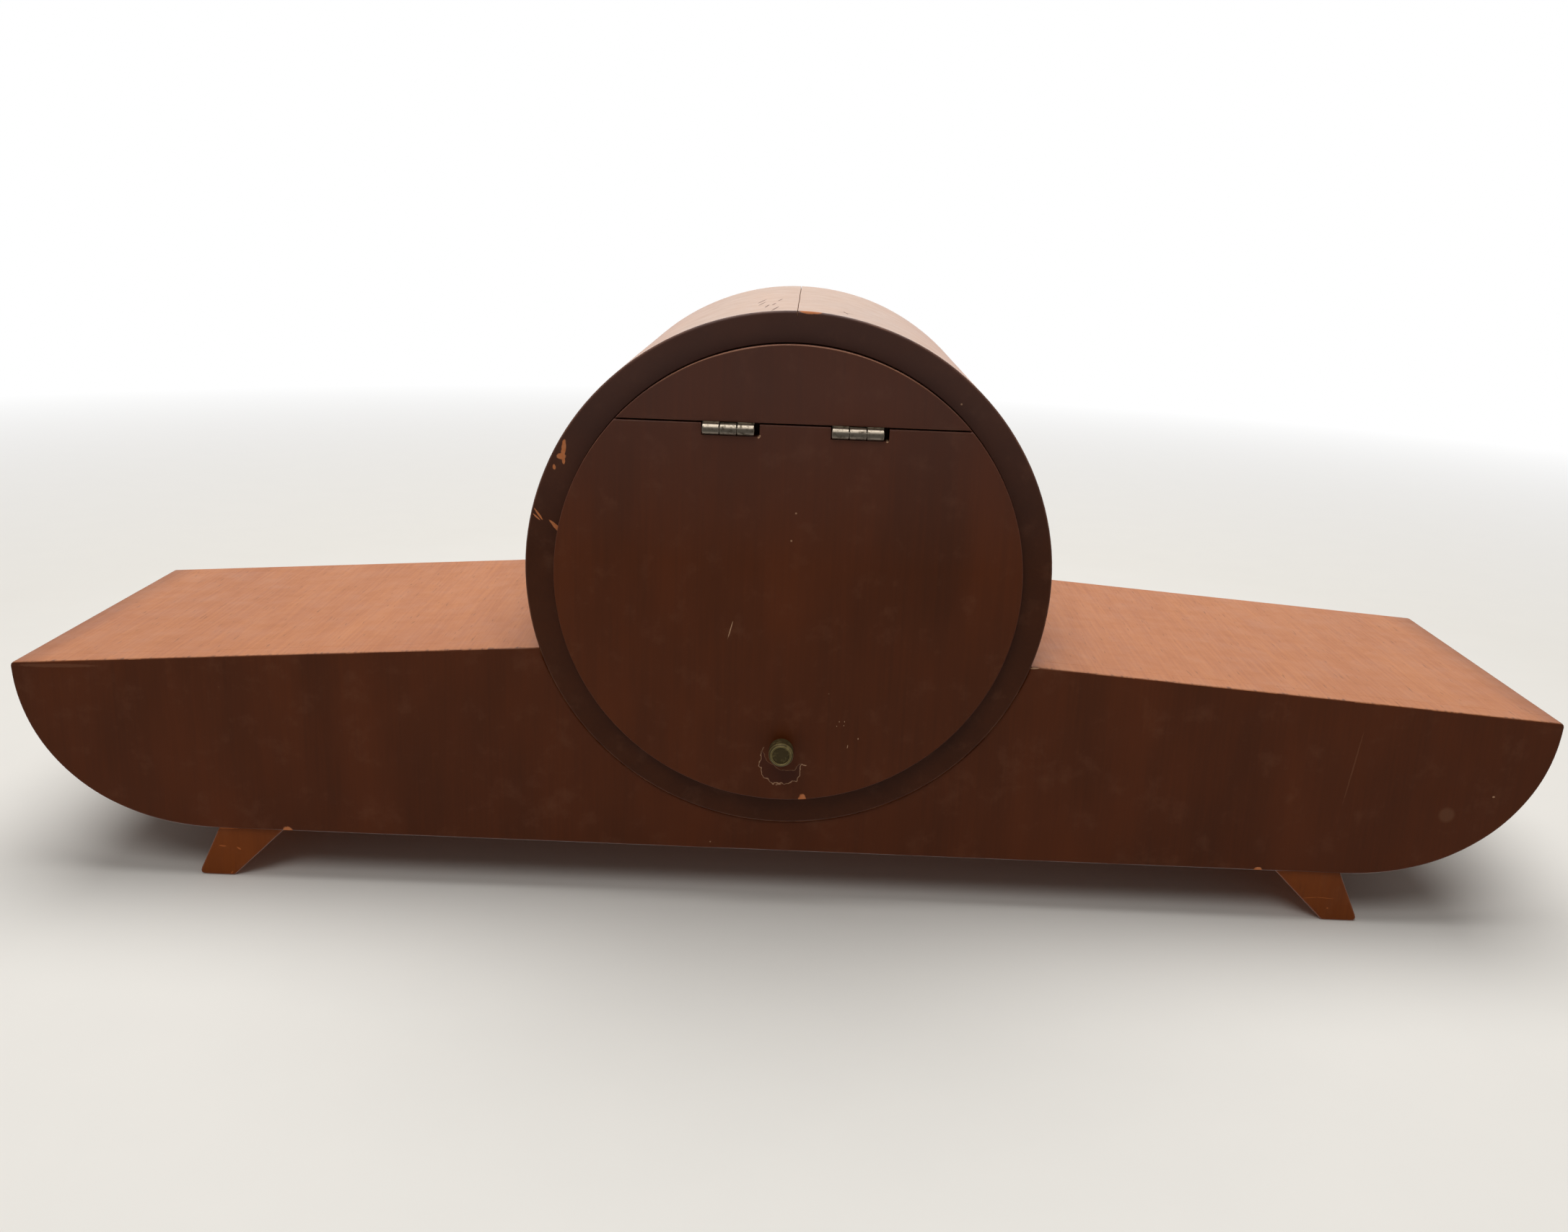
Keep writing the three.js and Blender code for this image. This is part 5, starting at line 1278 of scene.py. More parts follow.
class CLOCK_OT_round_back(bpy.types.Operator):
    """Fixed segment and the door below it, with eased edges and notches for the hinges"""

    bl_idname = "clock.round_back"
    bl_label = "Round back"

    def execute(self, context):
        edge = context.scene.clock_sizes.door_edge
        taper = context.scene.clock_sizes.door_taper / DISC_RADIUS

        def place(u, v, w):
            """Points of the round back, drawn in towards its inner face."""
            share = 1 - taper * max(0, (DRUM_BACK - w) / (DRUM_BACK - DISC_FRONT))
            return Vector((u * share, w, CENTRE_Z + (v - CENTRE_Z) * share))

        for node, level, above in (("back_segment", SEAM, True), ("back_door", DOOR_TOP, False)):
            outline = closely(chord_outline(level, above), DISC_STEP)
            shell = plate(Shell(), outline, DISC_FRONT, DISC_BACK, (edge, edge), place, uneven=0.45)
            made = built(node + "_piece", shell)
            cutters = hinge_cutters(not above)
            if not above:
                _, _, knob_z = middle_of("door_knob")
                ends = (DISC_FRONT - MM, DISC_BACK + MM)
                cutters.append(built("cutter", tube(Shell(), 0, KNOB_HOLE, *ends, 0, along_y(0, knob_z), 24)))
            fitted(carved(made, *cutters), ["door", "raw"], node, choose=faces_inwards)
        return {"FINISHED"}


class CLOCK_OT_hinges(bpy.types.Operator):
    """Two small butt hinges: leaves, rolled knuckles and pins"""

    bl_idname = "clock.hinges"
    bl_label = "Back hinges"

    def execute(self, context):
        edge = context.scene.clock_sizes.metal_edge
        knuckle, pin_room, pin_radius = 2.1 * MM, 1.0 * MM, 0.9 * MM
        thick, gap = 0.8 * MM, 0.1 * MM
        for side in ("left", "right"):
            pin = f"hinge_{side}_pin"
            low, high = BOXES[pin]
            _, axis_y, axis_z = middle_of(pin)
            place = along_x(axis_y, axis_z)
            web = axis_y - knuckle - thick / 2
            span = (high.x - low.x) / 3
            thirds = [(low.x + span * k + gap, low.x + span * (k + 1) - gap) for k in range(3)]
            for part, rolls in (("case", (0, 2)), ("door", (1,))):
                node = f"hinge_{side}_{part}_leaf"
                leaf_low, leaf_high = BOXES[node]
                shell = Shell()
                upper = leaf_high.z if part == "case" else DOOR_TOP + 0.15 * MM
                block(shell, (low.x, leaf_low.y, upper - thick), (high.x, web - thick / 2, upper), edge)
                for roll in rolls:
                    start, end = thirds[roll]
                    tube(shell, pin_room, knuckle, start, end, 0.3 * MM, place, 40)
                    block(shell, (start, web, axis_z), (end, web + MM, upper), edge)
                    tongue = (start + gap, web - thick, upper - thick), (end - gap, web + thick, upper - gap)
                    block(shell, *tongue, edge)
                finished(node, shell, "hinge")
            finished(pin, tube(Shell(), 0, pin_radius, low.x, high.x, 0.4 * MM, place, 24), "hinge")
        return {"FINISHED"}


class CLOCK_OT_knob(bpy.types.Operator):
    """Turned knob of the door and the catch behind it"""

    bl_idname = "clock.knob"
    bl_label = "Knob and catch"

    def execute(self, context):
        low, high = BOXES["door_knob"]
        middle_x, _, middle_z = middle_of("door_knob")
        end, foot = high.y, DISC_BACK + 0.1 * MM
        grip, neck, shaft = 4.7 * MM, 3.5 * MM, 2 * MM
        profile = [
            (0, low.y),
            (shaft, low.y),
            (shaft, foot),
            (neck, foot),
            (neck, foot + 1.5 * MM),
            (grip, foot + 2.4 * MM),
            (grip, end - 0.9 * MM),
            (grip - 0.8 * MM, end),
            (grip - 1.3 * MM, end),
            (grip - 1.5 * MM, end - 0.5 * MM),
            (0, end - 0.45 * MM),
        ]
        radii = [0, 0, 0, 0, 0, 0.5, 0.6, 0.6, 0.4, 0, 0]
        line = softened(flat(profile), [radius * MM for radius in radii], closed=False)
        finished("door_knob", turned(Shell(), line, along_y(middle_x, middle_z), 64), "knob")
        low, high = BOXES["door_catch"]
        half = (high.z - low.z) / 2
        outline = arc((low.x + half, middle_z), half, math.pi / 2, 1.5 * math.pi, 16)
        outline += arc((high.x - half, middle_z), half, -math.pi / 2, math.pi / 2, 16)
        hole = circle(0, middle_z, shaft + 0.2 * MM, 20)
        catch = sheet_metal("door_catch_piece", [outline, hole], low.y, high.y, 0.2 * MM)
        fitted(catch, "hinge", "door_catch")
        return {"FINISHED"}


# Front

FIGURE_SHARE = 0.72  # height of the font's figures against its size


class CLOCK_OT_dial(bpy.types.Operator):
    """Painted dial with plain numbers, a minute ring and ferrules round the winding holes"""

    bl_idname = "clock.dial"
    bl_label = "Dial"

    def execute(self, context):
        sizes = context.scene.clock_sizes
        low, high = BOXES["dial_plate"]
        hole, ink = 4.5 * MM, 0.04 * MM
        spots = [(0, CENTRE_Z)]
        spots += [(PIVOTS[body].x, PIVOTS[body].z) for body in ("going", "strike")]
        outlines = [circle(0, CENTRE_Z, high.x, 128)] + [circle(x, z, hole) for x, z in spots]
        dial = sheet_metal("dial_plate_piece", outlines, low.y, high.y, 0.1 * MM)
        fitted(dial, "paint", "dial_plate")
        face = low.y - ink / 2
        tree = marks_tree()
        rows = (("minute_marks", 60, 2.2, 0.45, ink), ("hour_marks", 12, 3.4, 1.3, 1.6 * ink))
        for name, count, long, wide, thick in rows:
            values = {
                "Count": count,
                "Radius": sizes.track_circle,
                "Size": (long * MM, wide * MM, thick),
                "Middle": (0, face, CENTRE_Z),
                "Material": FINISHES["ink"],
            }
            fitted(grown(name, tree, values), "ink", body="case", slot="dial_paint")
        track, line, half = Shell(), 0.4 * MM, 1.9 * MM
        for radius in (sizes.track_circle - half, sizes.track_circle + half):
            tube(track, radius, radius + line, face - ink / 2, low.y, 0, along_y(0, CENTRE_Z), 160)
        fitted(built("minute_rings", track), "ink", body="case", slot="dial_paint")
        self.numbers(sizes, face, ink)
        ferrules, inner, outer = Shell(), hole - 0.4 * MM, hole + 1.1 * MM
        corners = [(inner, high.y), (inner, low.y - 0.5 * MM), (outer, low.y - 0.3 * MM), (outer, low.y)]
        for x, z in spots[1:]:
            turned_solid(ferrules, corners, 0.2 * MM, along_y(x, z), 40, True)
        fitted(built("winding_ferrules", ferrules), "bezel", body="case", slot="brass")
        return {"FINISHED"}

    def numbers(self, sizes, face, ink):
        """Plain upright numbers on the dial."""
        made = []
        upright = Matrix.Rotation(math.pi / 2, 4, "X")
        for hour in range(1, 13):
            text = bpy.data.curves.new(f"number_{hour}", "FONT")
            text.body = str(hour)
            text.size = sizes.numeral_height / FIGURE_SHARE
            text.extrude = ink / 2
            drawn = linked(f"number_{hour}", text)
            mesh = evaluated(drawn)
            removed(drawn)
            across = [vertex.co.x for vertex in mesh.vertices]
            up = [vertex.co.y for vertex in mesh.vertices]
            centre = Vector((min(across) + max(across), min(up) + max(up), 0)) / 2
            turn = math.pi / 2 - math.tau * hour / 12
            spot = Vector((math.cos(turn), 0, math.sin(turn))) * sizes.numeral_circle
            spot += Vector((0, face, CENTRE_Z))
            mesh.transform(Matrix.Translation(spot) @ upright @ Matrix.Translation(-centre))
            made.append(linked(f"number_{hour}_mesh", sealed(mesh)))
        fitted(together("dial_numbers", *made), "ink", body="case", slot="dial_paint")


class CLOCK_OT_bezel(bpy.types.Operator):
    """Hinged brass bezel with its domed glass"""

    bl_idname = "clock.bezel"
    bl_label = "Bezel"

    def execute(self, context):
        edge = context.scene.clock_sizes.metal_edge
        rim = 79 * MM
        seat = rim - 7.5 * MM
        lip = seat - 2 * MM
        front, back = BOXES["bezel_ring"][0].y, BOXES["dial_plate"][0].y - 0.3 * MM
        corners = [
            (lip, front + 1.1 * MM),
            (lip + 1 * MM, front + 0.3 * MM),
            (seat + 0.6 * MM, front),
            (seat + 4.5 * MM, front + 1.6 * MM),
            (rim, back - 2.8 * MM),
            (rim, back),
            (seat, back),
            (seat, front + 2.6 * MM),
            (lip, front + 2.6 * MM),
        ]
        radii = [0.3, 0.5, 1.5, 2.6, 1.2, 0.2, 0.2, 0.2, 0.2]
        line = softened(flat(corners), [radius * MM for radius in radii], True, 6)
        shell = turned(Shell(), line, along_y(0, CENTRE_Z), 160, True)
        pin_low, pin_high = BOXES["bezel_hinge_pin"]
        pin_x, pin_y, _ = middle_of("bezel_hinge_pin")
        place_pin = along_z(pin_x, pin_y)
        low, high = CENTRE_Z - 2.75 * MM, CENTRE_Z + 2.75 * MM
        tube(shell, 1.1 * MM, 2 * MM, low, high, 0.3 * MM, place_pin, 32)
        arm = (pin_x + 1.3 * MM, pin_y - MM, low), (-rim + 2.5 * MM, pin_y + MM, high)
        block(shell, *arm, edge)
        finished("bezel_ring", shell, "bezel")
        self.glass(lip - 0.3 * MM)
        machined("bezel_hinge_bracket", edge, "bezel")
        pin = tube(Shell(), 0, 0.9 * MM, pin_low.z, pin_high.z, 0.3 * MM, place_pin, 24)
        finished("bezel_hinge_pin", pin, "steel")
        return {"FINISHED"}

    def glass(self, dome_radius):
        """A domed glass with a flat brim."""
        low, high = BOXES["bezel_glass"]
        thick, steps = 1.5 * MM, 20
        rise = high.y - thick - low.y
        shares = [step / steps for step in range(steps + 1)]
        dome = [Vector((dome_radius * share, low.y + rise * share ** 2)) for share in shares]
        under = [Vector((point.x, point.y + thick)) for point in reversed(dome)]
        brim = flat([(high.x, high.y - thick), (high.x, high.y)])
        profile = [(point, 0.0) for point in dome + brim + under]
        finished("bezel_glass", turned(Shell(), profile, along_y(0, CENTRE_Z), 128), "glass")


SHOWN_HOUR = 10
SHOWN_MINUTE = 9
BOSS_EDGE = 0.15 * MM
BLADE_STEPS = 28
WIDEST = 0.64  # share of a blade's length at which it is widest
ROOT_WIDTH = 0.5
SHOULDER = 0.4  # height of a blade's sides below its ridge, as a share of its thickness


class CLOCK_OT_hands(bpy.types.Operator):
    """Blued hands with a ridge along the middle, and the nut that holds them"""

    bl_idname = "clock.hands"
    bl_label = "Hands"

    def execute(self, context):
        minute = math.tau * SHOWN_MINUTE / 60
        hour = math.tau * (SHOWN_HOUR + SHOWN_MINUTE / 60) / 12
        self.hand("hour_hand", hour, reach=42 * MM, width=5.2 * MM, bore=3.6 * MM)
        self.hand("minute_hand", minute, reach=60 * MM, width=4 * MM, bore=2 * MM)
        low, high = BOXES["hand_nut"]
        outer, bore = high.x, 1.1 * MM
        corners = [
            (bore, high.y),
            (outer, high.y),
            (outer, low.y + 0.2 * MM),
            (outer - 0.6 * MM, low.y),
            (bore, low.y),
        ]
        nut = turned_solid(Shell(), corners, BOSS_EDGE, along_y(0, CENTRE_Z), 40, True)
        finished("hand_nut", nut, "bezel")
        return {"FINISHED"}

    def hand(self, node, clockwise, reach, width, bore):
        """A leaf-shaped blade from its boss to its tip, higher along its middle."""
        back, front = BOXES[node][1].y, BOXES[node][0].y
        shoulder = front + SHOULDER * (back - front)
        turn = Matrix.Rotation(math.pi / 2 - clockwise, 2)
        start = bore + 0.9 * MM
        shell = Shell()
        rows = []
        for step in range(BLADE_STEPS + 1):
            share = step / BLADE_STEPS
            along = start + (reach - start) * share
            widening = ROOT_WIDTH + (1 - ROOT_WIDTH) * share / WIDEST
            narrowing = (1 - share) / (1 - WIDEST)
            half = max(width / 2 * (widening if share < WIDEST else narrowing), 0.12 * MM)
            points = []
            section = ((-half, back), (-half, shoulder), (0, front), (half, shoulder), (half, back))
            for across, level in section:
                spot = turn @ Vector((along, across))
                points.append(Vector((spot.x, level, CENTRE_Z + spot.y)))
            rows.append(shell.ring(points))
        for first, second in zip(rows, rows[1:]):
            shell.band(first, second)
        shell.faces.extend([rows[0], rows[-1]])
        tube(shell, bore, bore + 1.8 * MM, back, front, BOSS_EDGE, along_y(0, CENTRE_Z), 40)
        finished(node, shell, "blued")


# Works

# One tooth with a rounded tip: shares of the pitch, and heights above the pitch circle in modules
HALF_TOOTH = ((-0.3, -1.2), (-0.19, 0.0), (-0.08, 0.85))
TOOTH = (*HALF_TOOTH, (0.0, 1.0), *[(-share, height) for share, height in reversed(HALF_TOOTH)])


def gear_outline(middle, teeth, module):
    """Teeth round a middle, of which the first points along +X."""
    line = []
    for tooth in range(teeth):
        for share, height in TOOTH:
            turn = (tooth + share) * math.tau / teeth
            radius = (teeth / 2 + height) * module
            line.append(Vector((middle.x + radius * math.cos(turn), middle.z + radius * math.sin(turn))))
    return line


class CLOCK_OT_movement(bpy.types.Operator):
    """Brass plates with their pillars, posts, bushes and screws, and the suspension cock"""

    bl_idname = "clock.movement"
    bl_label = "Movement frame"

    def execute(self, context):
        sizes = context.scene.clock_sizes
        edge = sizes.metal_edge
        corners = []
        for index in range(1, 5):
            node = f"plate_pillar_{index}"
            x, _, z = middle_of(node)
            corners.append((x, z))
            self.pillar(node, x, z)
        small = [PIVOTS[body] for body in ("third", "escape", "strike_pins", "fly")]
        barrels = [PIVOTS[body] for body in ("going", "strike")]
        centre, pallets, hammer = PIVOTS["centre"], PIVOTS["pallets"], PIVOTS["hammer_a"]
        front_holes = [(p, 1.0) for p in [*small, pallets]] + [(p, 3.3) for p in barrels] + [(centre, 2.2)]
        back_holes = [(p, 1.0) for p in [*small, *barrels, centre]] + [(pallets, 1.2), (hammer, 2.3)]
        low, high = BOXES["movement_back_plate"]
        back = self.plate("movement_back_plate", low.y, back_holes, edge)
        fitted(back, "brass", "movement_back_plate")
        face = BOXES["movement_front_plate"][1].y - (high.y - low.y)
        front = self.plate("movement_front_plate", face, front_holes, edge)
        posts, root = Shell(), face + edge
        for x, z in corners:
            tube(posts, 0, 3 * MM, root, BOXES["dial_board"][1].y, 0.3 * MM, along_y(x, z), 32)
        stud = PIVOTS["motion_wheel"]
        stud_end = BOXES["minute_wheel"][0].y - MM
        tube(posts, 0, 0.7 * MM, root, stud_end, 0.15 * MM, along_y(stud.x, stud.z), 20)
        made = together("movement_front_plate_piece", front, built("posts", posts))
        fitted(made, "brass", "movement_front_plate")
        machined("suspension_cock", edge, "brass")

        tree = copies_tree()
        section = [(1.0 * MM, -0.2 * MM), (2.1 * MM, -0.2 * MM), (2.1 * MM, 0.12 * MM), (1.6 * MM, 0.12 * MM)]
        bush = turned_solid(Shell(), section, 0.05 * MM, along_y(), 28, True)
        spots = [(p.x, high.y, p.z) for p in [*small, *barrels, centre]]
        scattered("pivot_bushes", tree, built("bush", bush), spots, "bezel", 3, "brass")
        spots = [(x, high.y, z) for x, z in corners]
        scattered("plate_screws", tree, screw_fitting(sizes.screw_head), spots, "steel", 7, "steel")
        return {"FINISHED"}

    def plate(self, node, start, holes, edge):
        """A plate with rounded corners and pivot holes, from a level to the back of its node."""
        low, high = BOXES[node]
        corners = flat([(low.x, low.z), (high.x, low.z), (high.x, high.z), (low.x, high.z)])
        outline = [point for point, _ in softened(corners, [4 * MM] * 4, True, 6)]
        outlines = [outline] + [circle(p.x, p.z, radius * MM, 28) for p, radius in holes]
        return sheet_metal(node + "_piece", outlines, start, high.y, edge)

    def pillar(self, node, x, z):
        """A turned pillar with a bead at each end and a waist."""
        low, high = BOXES[node][0].y, BOXES[node][1].y
        wide, waist = 4 * MM, 3 * MM
        half = [(0, 0), (wide, 0), (wide, wide), (waist, 2 * wide)]
        profile = [(radius, low + along) for radius, along in half]
        profile += [(radius, high - along) for radius, along in reversed(half)]
        finished(node, turned_solid(Shell(), profile, 0.6 * MM, along_y(x, z), 40), "brass")


WHEELS = {
    "steel": (
        "going_winding_arbor",
        "strike_winding_arbor",
        "centre_arbor",
        "pallet_anchor",
        "cannon_pinion",
    ),
    "brass": (
        "centre_wheel",
        "third_wheel",
        "escape_wheel",
        "pin_wheel",
        "strike_fly",
        "minute_wheel",
        "hour_wheel",
    ),
}


class CLOCK_OT_trains(bpy.types.Operator):
    """Barrels, wheels, arbors and the pallets"""

    bl_idname = "clock.trains"
    bl_label = "Wheel trains"

    def execute(self, context):
        edge = context.scene.clock_sizes.metal_edge
        for node, gear_in_front in (("going_barrel", True), ("strike_barrel", False)):
            self.barrel(node, gear_in_front, edge)
        for finish, nodes in WHEELS.items():
            for node in nodes:
                machined(node, edge / 2, finish)
        return {"FINISHED"}

    def barrel(self, node, gear_in_front, edge):
        """A spring barrel: toothed flange, drum with rolled edges, and a sunk cover."""
        low, high = BOXES[node]
        middle = PIVOTS[BODY_OF[node]]
        bore, radius, flange, sunk = 3.3 * MM, 21 * MM, 2.5 * MM, 0.8 * MM
        from_y, to_y = (low.y, low.y + flange) if gear_in_front else (high.y - flange, high.y)
        outlines = [gear_outline(middle, 48, MM), circle(middle.x, middle.z, bore)]
        toothed = sheet_metal("toothed", outlines, from_y, to_y, edge)
        corners = [
            (bore, low.y),
            (radius - 2 * MM, low.y),
            (radius, low.y),
            (radius, high.y),
            (radius - 1.6 * MM, high.y),
            (radius - 2.2 * MM, high.y - sunk),
            (bore + 4 * MM, high.y - sunk),
            (bore + 3 * MM, high.y),
            (bore, high.y),
        ]
        drum = turned_solid(Shell(), corners, 0.35 * MM, along_y(middle.x, middle.z), 72, True)
        fitted(together(node + "_piece", toothed, built("drum", drum)), "brass", node)


BOB_STEPS = 32
KNURLS = 36
KNURL_DEPTH = 0.94  # radius between the ridges of the nut against its full radius


class CLOCK_OT_pendulum(bpy.types.Operator):
    """Pendulum rod on its spring, the brass bob and the knurled rating nut"""

    bl_idname = "clock.pendulum"
    bl_label = "Pendulum"

    def execute(self, context):
        edge = context.scene.clock_sizes.metal_edge
        machined("pendulum_rod", edge, "steel")
        low, high = BOXES["pendulum_bob"]
        x, y, z = (low + high) / 2
        radius, half = (high.x - low.x) / 2, (high.y - low.y) / 2
        profile = []
        for step in range(BOB_STEPS + 1):
            turn = math.pi * step / BOB_STEPS
            reach = radius * math.sin(turn) if 0 < step < BOB_STEPS else 0
            profile.append((Vector((reach, y - half * math.cos(turn))), 0.0))
        self.bored("pendulum_bob", turned(Shell(), profile, along_y(x, z), 96), (x, y), "bezel")
        low, high = BOXES["rating_nut"]
        radius = (high.x - low.x) / 2
        outline = []
        for step in range(2 * KNURLS):
            turn = math.pi * step / KNURLS
            reach = radius if step % 2 else KNURL_DEPTH * radius
            outline.append(Vector((reach * math.cos(turn), reach * math.sin(turn))))
        nut = plate(Shell(), outline, low.z, high.z, (2 * edge, 2 * edge), along_z(x, y))
        self.bored("rating_nut", nut, (x, y), "brass")
        return {"FINISHED"}

    def bored(self, node, shell, spot, finish):
        """A piece with an upright hole for the rod."""
        low, high = BOXES[node][0].z, BOXES[node][1].z
        radius, beyond = 1.5 * MM, 5 * MM
        hole = tube(Shell(), 0, radius, low - beyond, high + beyond, 0, along_z(*spot), 24)
        made = built(node + "_piece", shell)
        fitted(carved(made, built("cutter", hole)), finish, node)


class CLOCK_OT_gongs(bpy.types.Operator):
    """Hammers with leather tips, their frame, the iron gong block and its three rods"""

    bl_idname = "clock.gongs"
    bl_label = "Hammers and gongs"

    def execute(self, context):
        edge = context.scene.clock_sizes.metal_edge
        machined("hammer_frame", edge, "steel")
        block_low, block_high = BOXES["gong_block"]
        finished("gong_block", block(Shell(), block_low, block_high, 1.5 * MM), "iron")
        collars = Shell()
        for index in range(1, 4):
            node = f"gong_rod_{index}"
            low, high = BOXES[node]
            _, y, z = middle_of(node)
            radius = (high.y - low.y) / 2
            thin, collar = 0.6 * radius, block_high.x + 2.5 * MM
            corners = [
                (0, low.x),
                (thin, low.x),
                (thin, low.x + 12 * MM),
                (radius, low.x + 22 * MM),
                (radius, high.x),
                (0, high.x),
            ]
            finished(node, turned_solid(Shell(), corners, 0.4 * MM, along_x(y, z), 28), "steel")
            room = thin + 0.05 * MM
            tube(collars, room, 2 * radius, block_high.x, collar, 0.3 * MM, along_x(y, z), 28)
            self.hammer(f"hammer_{index}")
        fitted(built("gong_collars", collars), "bezel", body="case", slot="brass")
        return {"FINISHED"}

    def hammer(self, node):
        """A hub on the arbor, a flat arm, and a turned head with a leather tip below."""
        bottom = BOXES[node][0].z
        pivot = PIVOTS[BODY_OF[node]]
        _, y, _ = middle_of(node)
        hub, bore, hub_half = 4.5 * MM, 2.3 * MM, 3 * MM
        head, tall, tip, edge = 4.5 * MM, 13 * MM, 2.5 * MM, 0.6 * MM
        wide, narrow, arm_half, arm_edge = 2 * MM, 1.5 * MM, 1.25 * MM, 0.3 * MM
        head_x = pivot.x - 48 * MM
        place_head = along_z(head_x, y)
        place_hub = along_y(pivot.x, pivot.z)
        shell = tube(Shell(), bore, hub, y - hub_half, y + hub_half, 0.3 * MM, place_hub, 36)
        tube(shell, 0, head, bottom + tip, bottom + tall, edge, place_head, 40)
        middle, start = Vector((head_x, bottom + tall / 2)), Vector((pivot.x, pivot.z))
        way = (middle - start).normalized()
        across = Vector((-way.y, way.x))
        begin = start + way * 3.4 * MM
        ends = ((begin, wide), (middle, narrow), (middle, -narrow), (begin, -wide))
        outline = [point + across * half for point, half in ends]
        plate(shell, outline, y - arm_half, y + arm_half, (arm_edge, arm_edge), along_y())
        finished(node, shell, "brass")
        corners = [(0, bottom), (head - edge, bottom), (head - 0.4 * MM, bottom + tip), (0, bottom + tip)]
        leather = built(node + "_tip", turned_solid(Shell(), corners, edge, place_head, 36))
        fitted(leather, "leather", body=BODY_OF[node], slot=SLOT_OF[node])


# Stage

LIT_POINT = Vector((0, 0, 0.1))
FLOOR_RADIUS = 6
FLOOR_FADE = (0.6, 1.6)  # distance from the clock at which the floor begins to fade, and is white


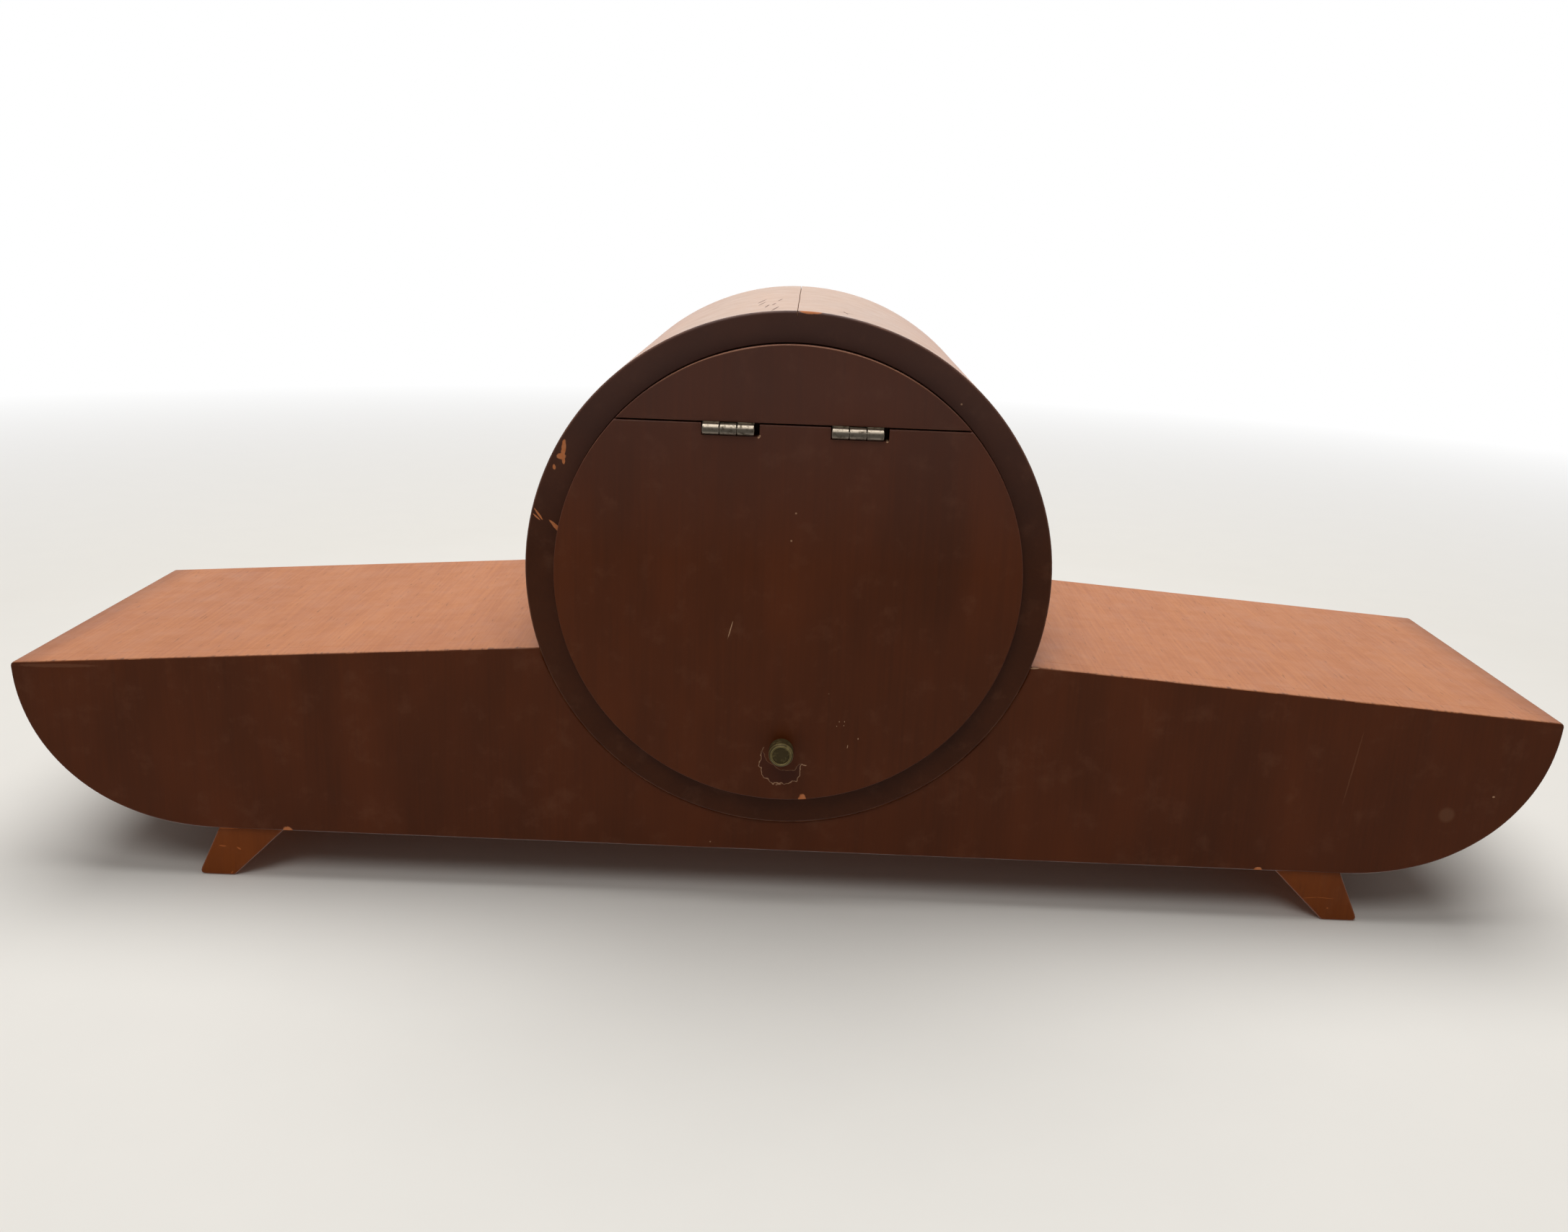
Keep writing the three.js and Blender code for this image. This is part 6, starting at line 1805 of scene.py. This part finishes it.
class CLOCK_OT_stage(bpy.types.Operator):
    """Pale floor, soft studio light, plain background and the camera"""

    bl_idname = "clock.stage"
    bl_label = "Stage"

    def execute(self, context):
        scene = context.scene
        scene.view_settings.view_transform = "Standard"
        self.camera(scene)
        self.floor(scene)
        self.world(scene)
        self.lamp("overhead", (0, -0.35, 1.7), size=1.9, power=30)
        self.lamp("behind_camera", (0.4, 1.5, 2.0), size=1.2, power=12)
        return {"FINISHED"}

    def camera(self, scene):
        """The camera that took the photograph."""
        ahead = Vector((-math.sin(YAW) * math.cos(PITCH), -math.cos(YAW) * math.cos(PITCH), math.sin(PITCH)))
        level = ahead.cross(Vector((0, 0, 1))).normalized()
        upward = level.cross(ahead)
        right = level * math.cos(ROLL) + upward * math.sin(ROLL)
        up = upward * math.cos(ROLL) - level * math.sin(ROLL)
        data = bpy.data.cameras.new("camera")
        data.sensor_fit = "HORIZONTAL"
        data.sensor_width = SENSOR
        data.lens = SENSOR * FOCAL_PIXELS / PHOTO_WIDTH
        data.clip_start = 0.01
        made = linked("camera", data)
        turn = Matrix((right, up, -ahead)).transposed().to_4x4()
        made.matrix_world = Matrix.Translation(EYE) @ turn
        scene.camera = made

    def floor(self, scene):
        """A pale floor that keeps the shadow and fades to white far from the clock."""
        material, add, place = blank("pale_floor")
        grain = add("ShaderNodeTexNoise", {"Vector": place, "Scale": 1 / (30 * MM), "Detail": 3.0})
        shades = [(scene.clock_colours.floor_shade, grain, 0.3, 0.7, 0.03)]
        tone = layered(add, scene.clock_colours.floor, shades)
        matte = add("ShaderNodeBsdfDiffuse", {"Color": tone})
        glow = add("ShaderNodeEmission", {"Strength": 1.0})
        away = add("ShaderNodeVectorMath", (place,), "Value", operation="LENGTH")
        far = add("ShaderNodeMapRange", (away, *FLOOR_FADE))
        seen = add("ShaderNodeLightPath", out="Is Camera Ray")
        through = add("ShaderNodeLightPath", out="Is Transmission Ray")
        seen = add("ShaderNodeMath", (seen, through), operation="MAXIMUM")
        share = add("ShaderNodeMath", (far, seen), operation="MULTIPLY")
        add("ShaderNodeOutputMaterial", (add("ShaderNodeMixShader", (share, matte, glow)),))
        shell = Shell()
        shell.faces.append(shell.ring([point.to_3d() for point in circle(0, 0, FLOOR_RADIUS, 64)]))
        made = built("floor", shell)
        made.data.materials.append(material)
        made.visible_glossy = False

    def world(self, scene):
        """White to the camera; reflections see white beyond the dial and a dimmer room beyond the door."""
        world = bpy.data.worlds.new("studio")
        scene.world = world
        world.use_nodes = True
        world.node_tree.nodes.clear()
        add = adder(world.node_tree)
        forward = add("ShaderNodeSeparateXYZ", (add("ShaderNodeTexCoord", out="Generated"),), "Y")
        room = add("ShaderNodeMapRange", (forward, -0.1, 0.5, 1.0, 0.16))
        seen = add("ShaderNodeLightPath", out="Is Camera Ray")
        white = add("ShaderNodeMath", (seen, room), operation="MAXIMUM")
        backdrop = add("ShaderNodeBackground", {"Color": white, "Strength": 1.0})
        light = add("ShaderNodeBackground", {"Color": linear("#f4f1ec"), "Strength": 0.22})
        for ray in ("Is Glossy Ray", "Is Transmission Ray"):
            seen = add("ShaderNodeMath", (seen, add("ShaderNodeLightPath", out=ray)), operation="MAXIMUM")
        add("ShaderNodeOutputWorld", (add("ShaderNodeMixShader", (seen, light, backdrop)),))

    def lamp(self, name, spot, size, power):
        data = bpy.data.lights.new(name, "AREA")
        data.shape = "DISK"
        data.size = size
        data.energy = power
        made = linked(name, data)
        made.location = spot
        made.rotation_euler = (LIT_POINT - Vector(spot)).to_track_quat("-Z", "Y").to_euler()


PIECES = (
    CLOCK_OT_stage,
    CLOCK_OT_base,
    CLOCK_OT_feet,
    CLOCK_OT_drum,
    CLOCK_OT_round_back,
    CLOCK_OT_hinges,
    CLOCK_OT_knob,
    CLOCK_OT_dial,
    CLOCK_OT_bezel,
    CLOCK_OT_hands,
    CLOCK_OT_movement,
    CLOCK_OT_trains,
    CLOCK_OT_pendulum,
    CLOCK_OT_gongs,
)


class CLOCK_PT_panel(bpy.types.Panel):
    """Lists the clock's pieces, sizes and colours"""

    bl_label = "Chiming table clock"
    bl_idname = "CLOCK_PT_panel"
    bl_space_type = "VIEW_3D"
    bl_region_type = "UI"
    bl_category = "Clock"

    def draw(self, context):
        column = self.layout.column()
        for operator in PIECES:
            column.operator(operator.bl_idname)
        for group in (context.scene.clock_sizes, context.scene.clock_colours):
            for name in group.bl_rna.properties.keys():
                if name not in ("rna_type", "name"):
                    column.prop(group, name)


CLASSES = (ClockSizes, ClockColours, *PIECES, CLOCK_PT_panel)


def register():
    for each in CLASSES:
        bpy.utils.register_class(each)
    bpy.types.Scene.clock_sizes = bpy.props.PointerProperty(type=ClockSizes)
    bpy.types.Scene.clock_colours = bpy.props.PointerProperty(type=ClockColours)


def unregister():
    del bpy.types.Scene.clock_sizes
    del bpy.types.Scene.clock_colours
    for each in reversed(CLASSES):
        bpy.utils.unregister_class(each)


def main():
    """Makes the stage and every piece."""
    register()
    make_finishes()
    for operator in PIECES:
        group, name = operator.bl_idname.split(".")
        getattr(getattr(bpy.ops, group), name)()


if __name__ == "__main__":
    main()
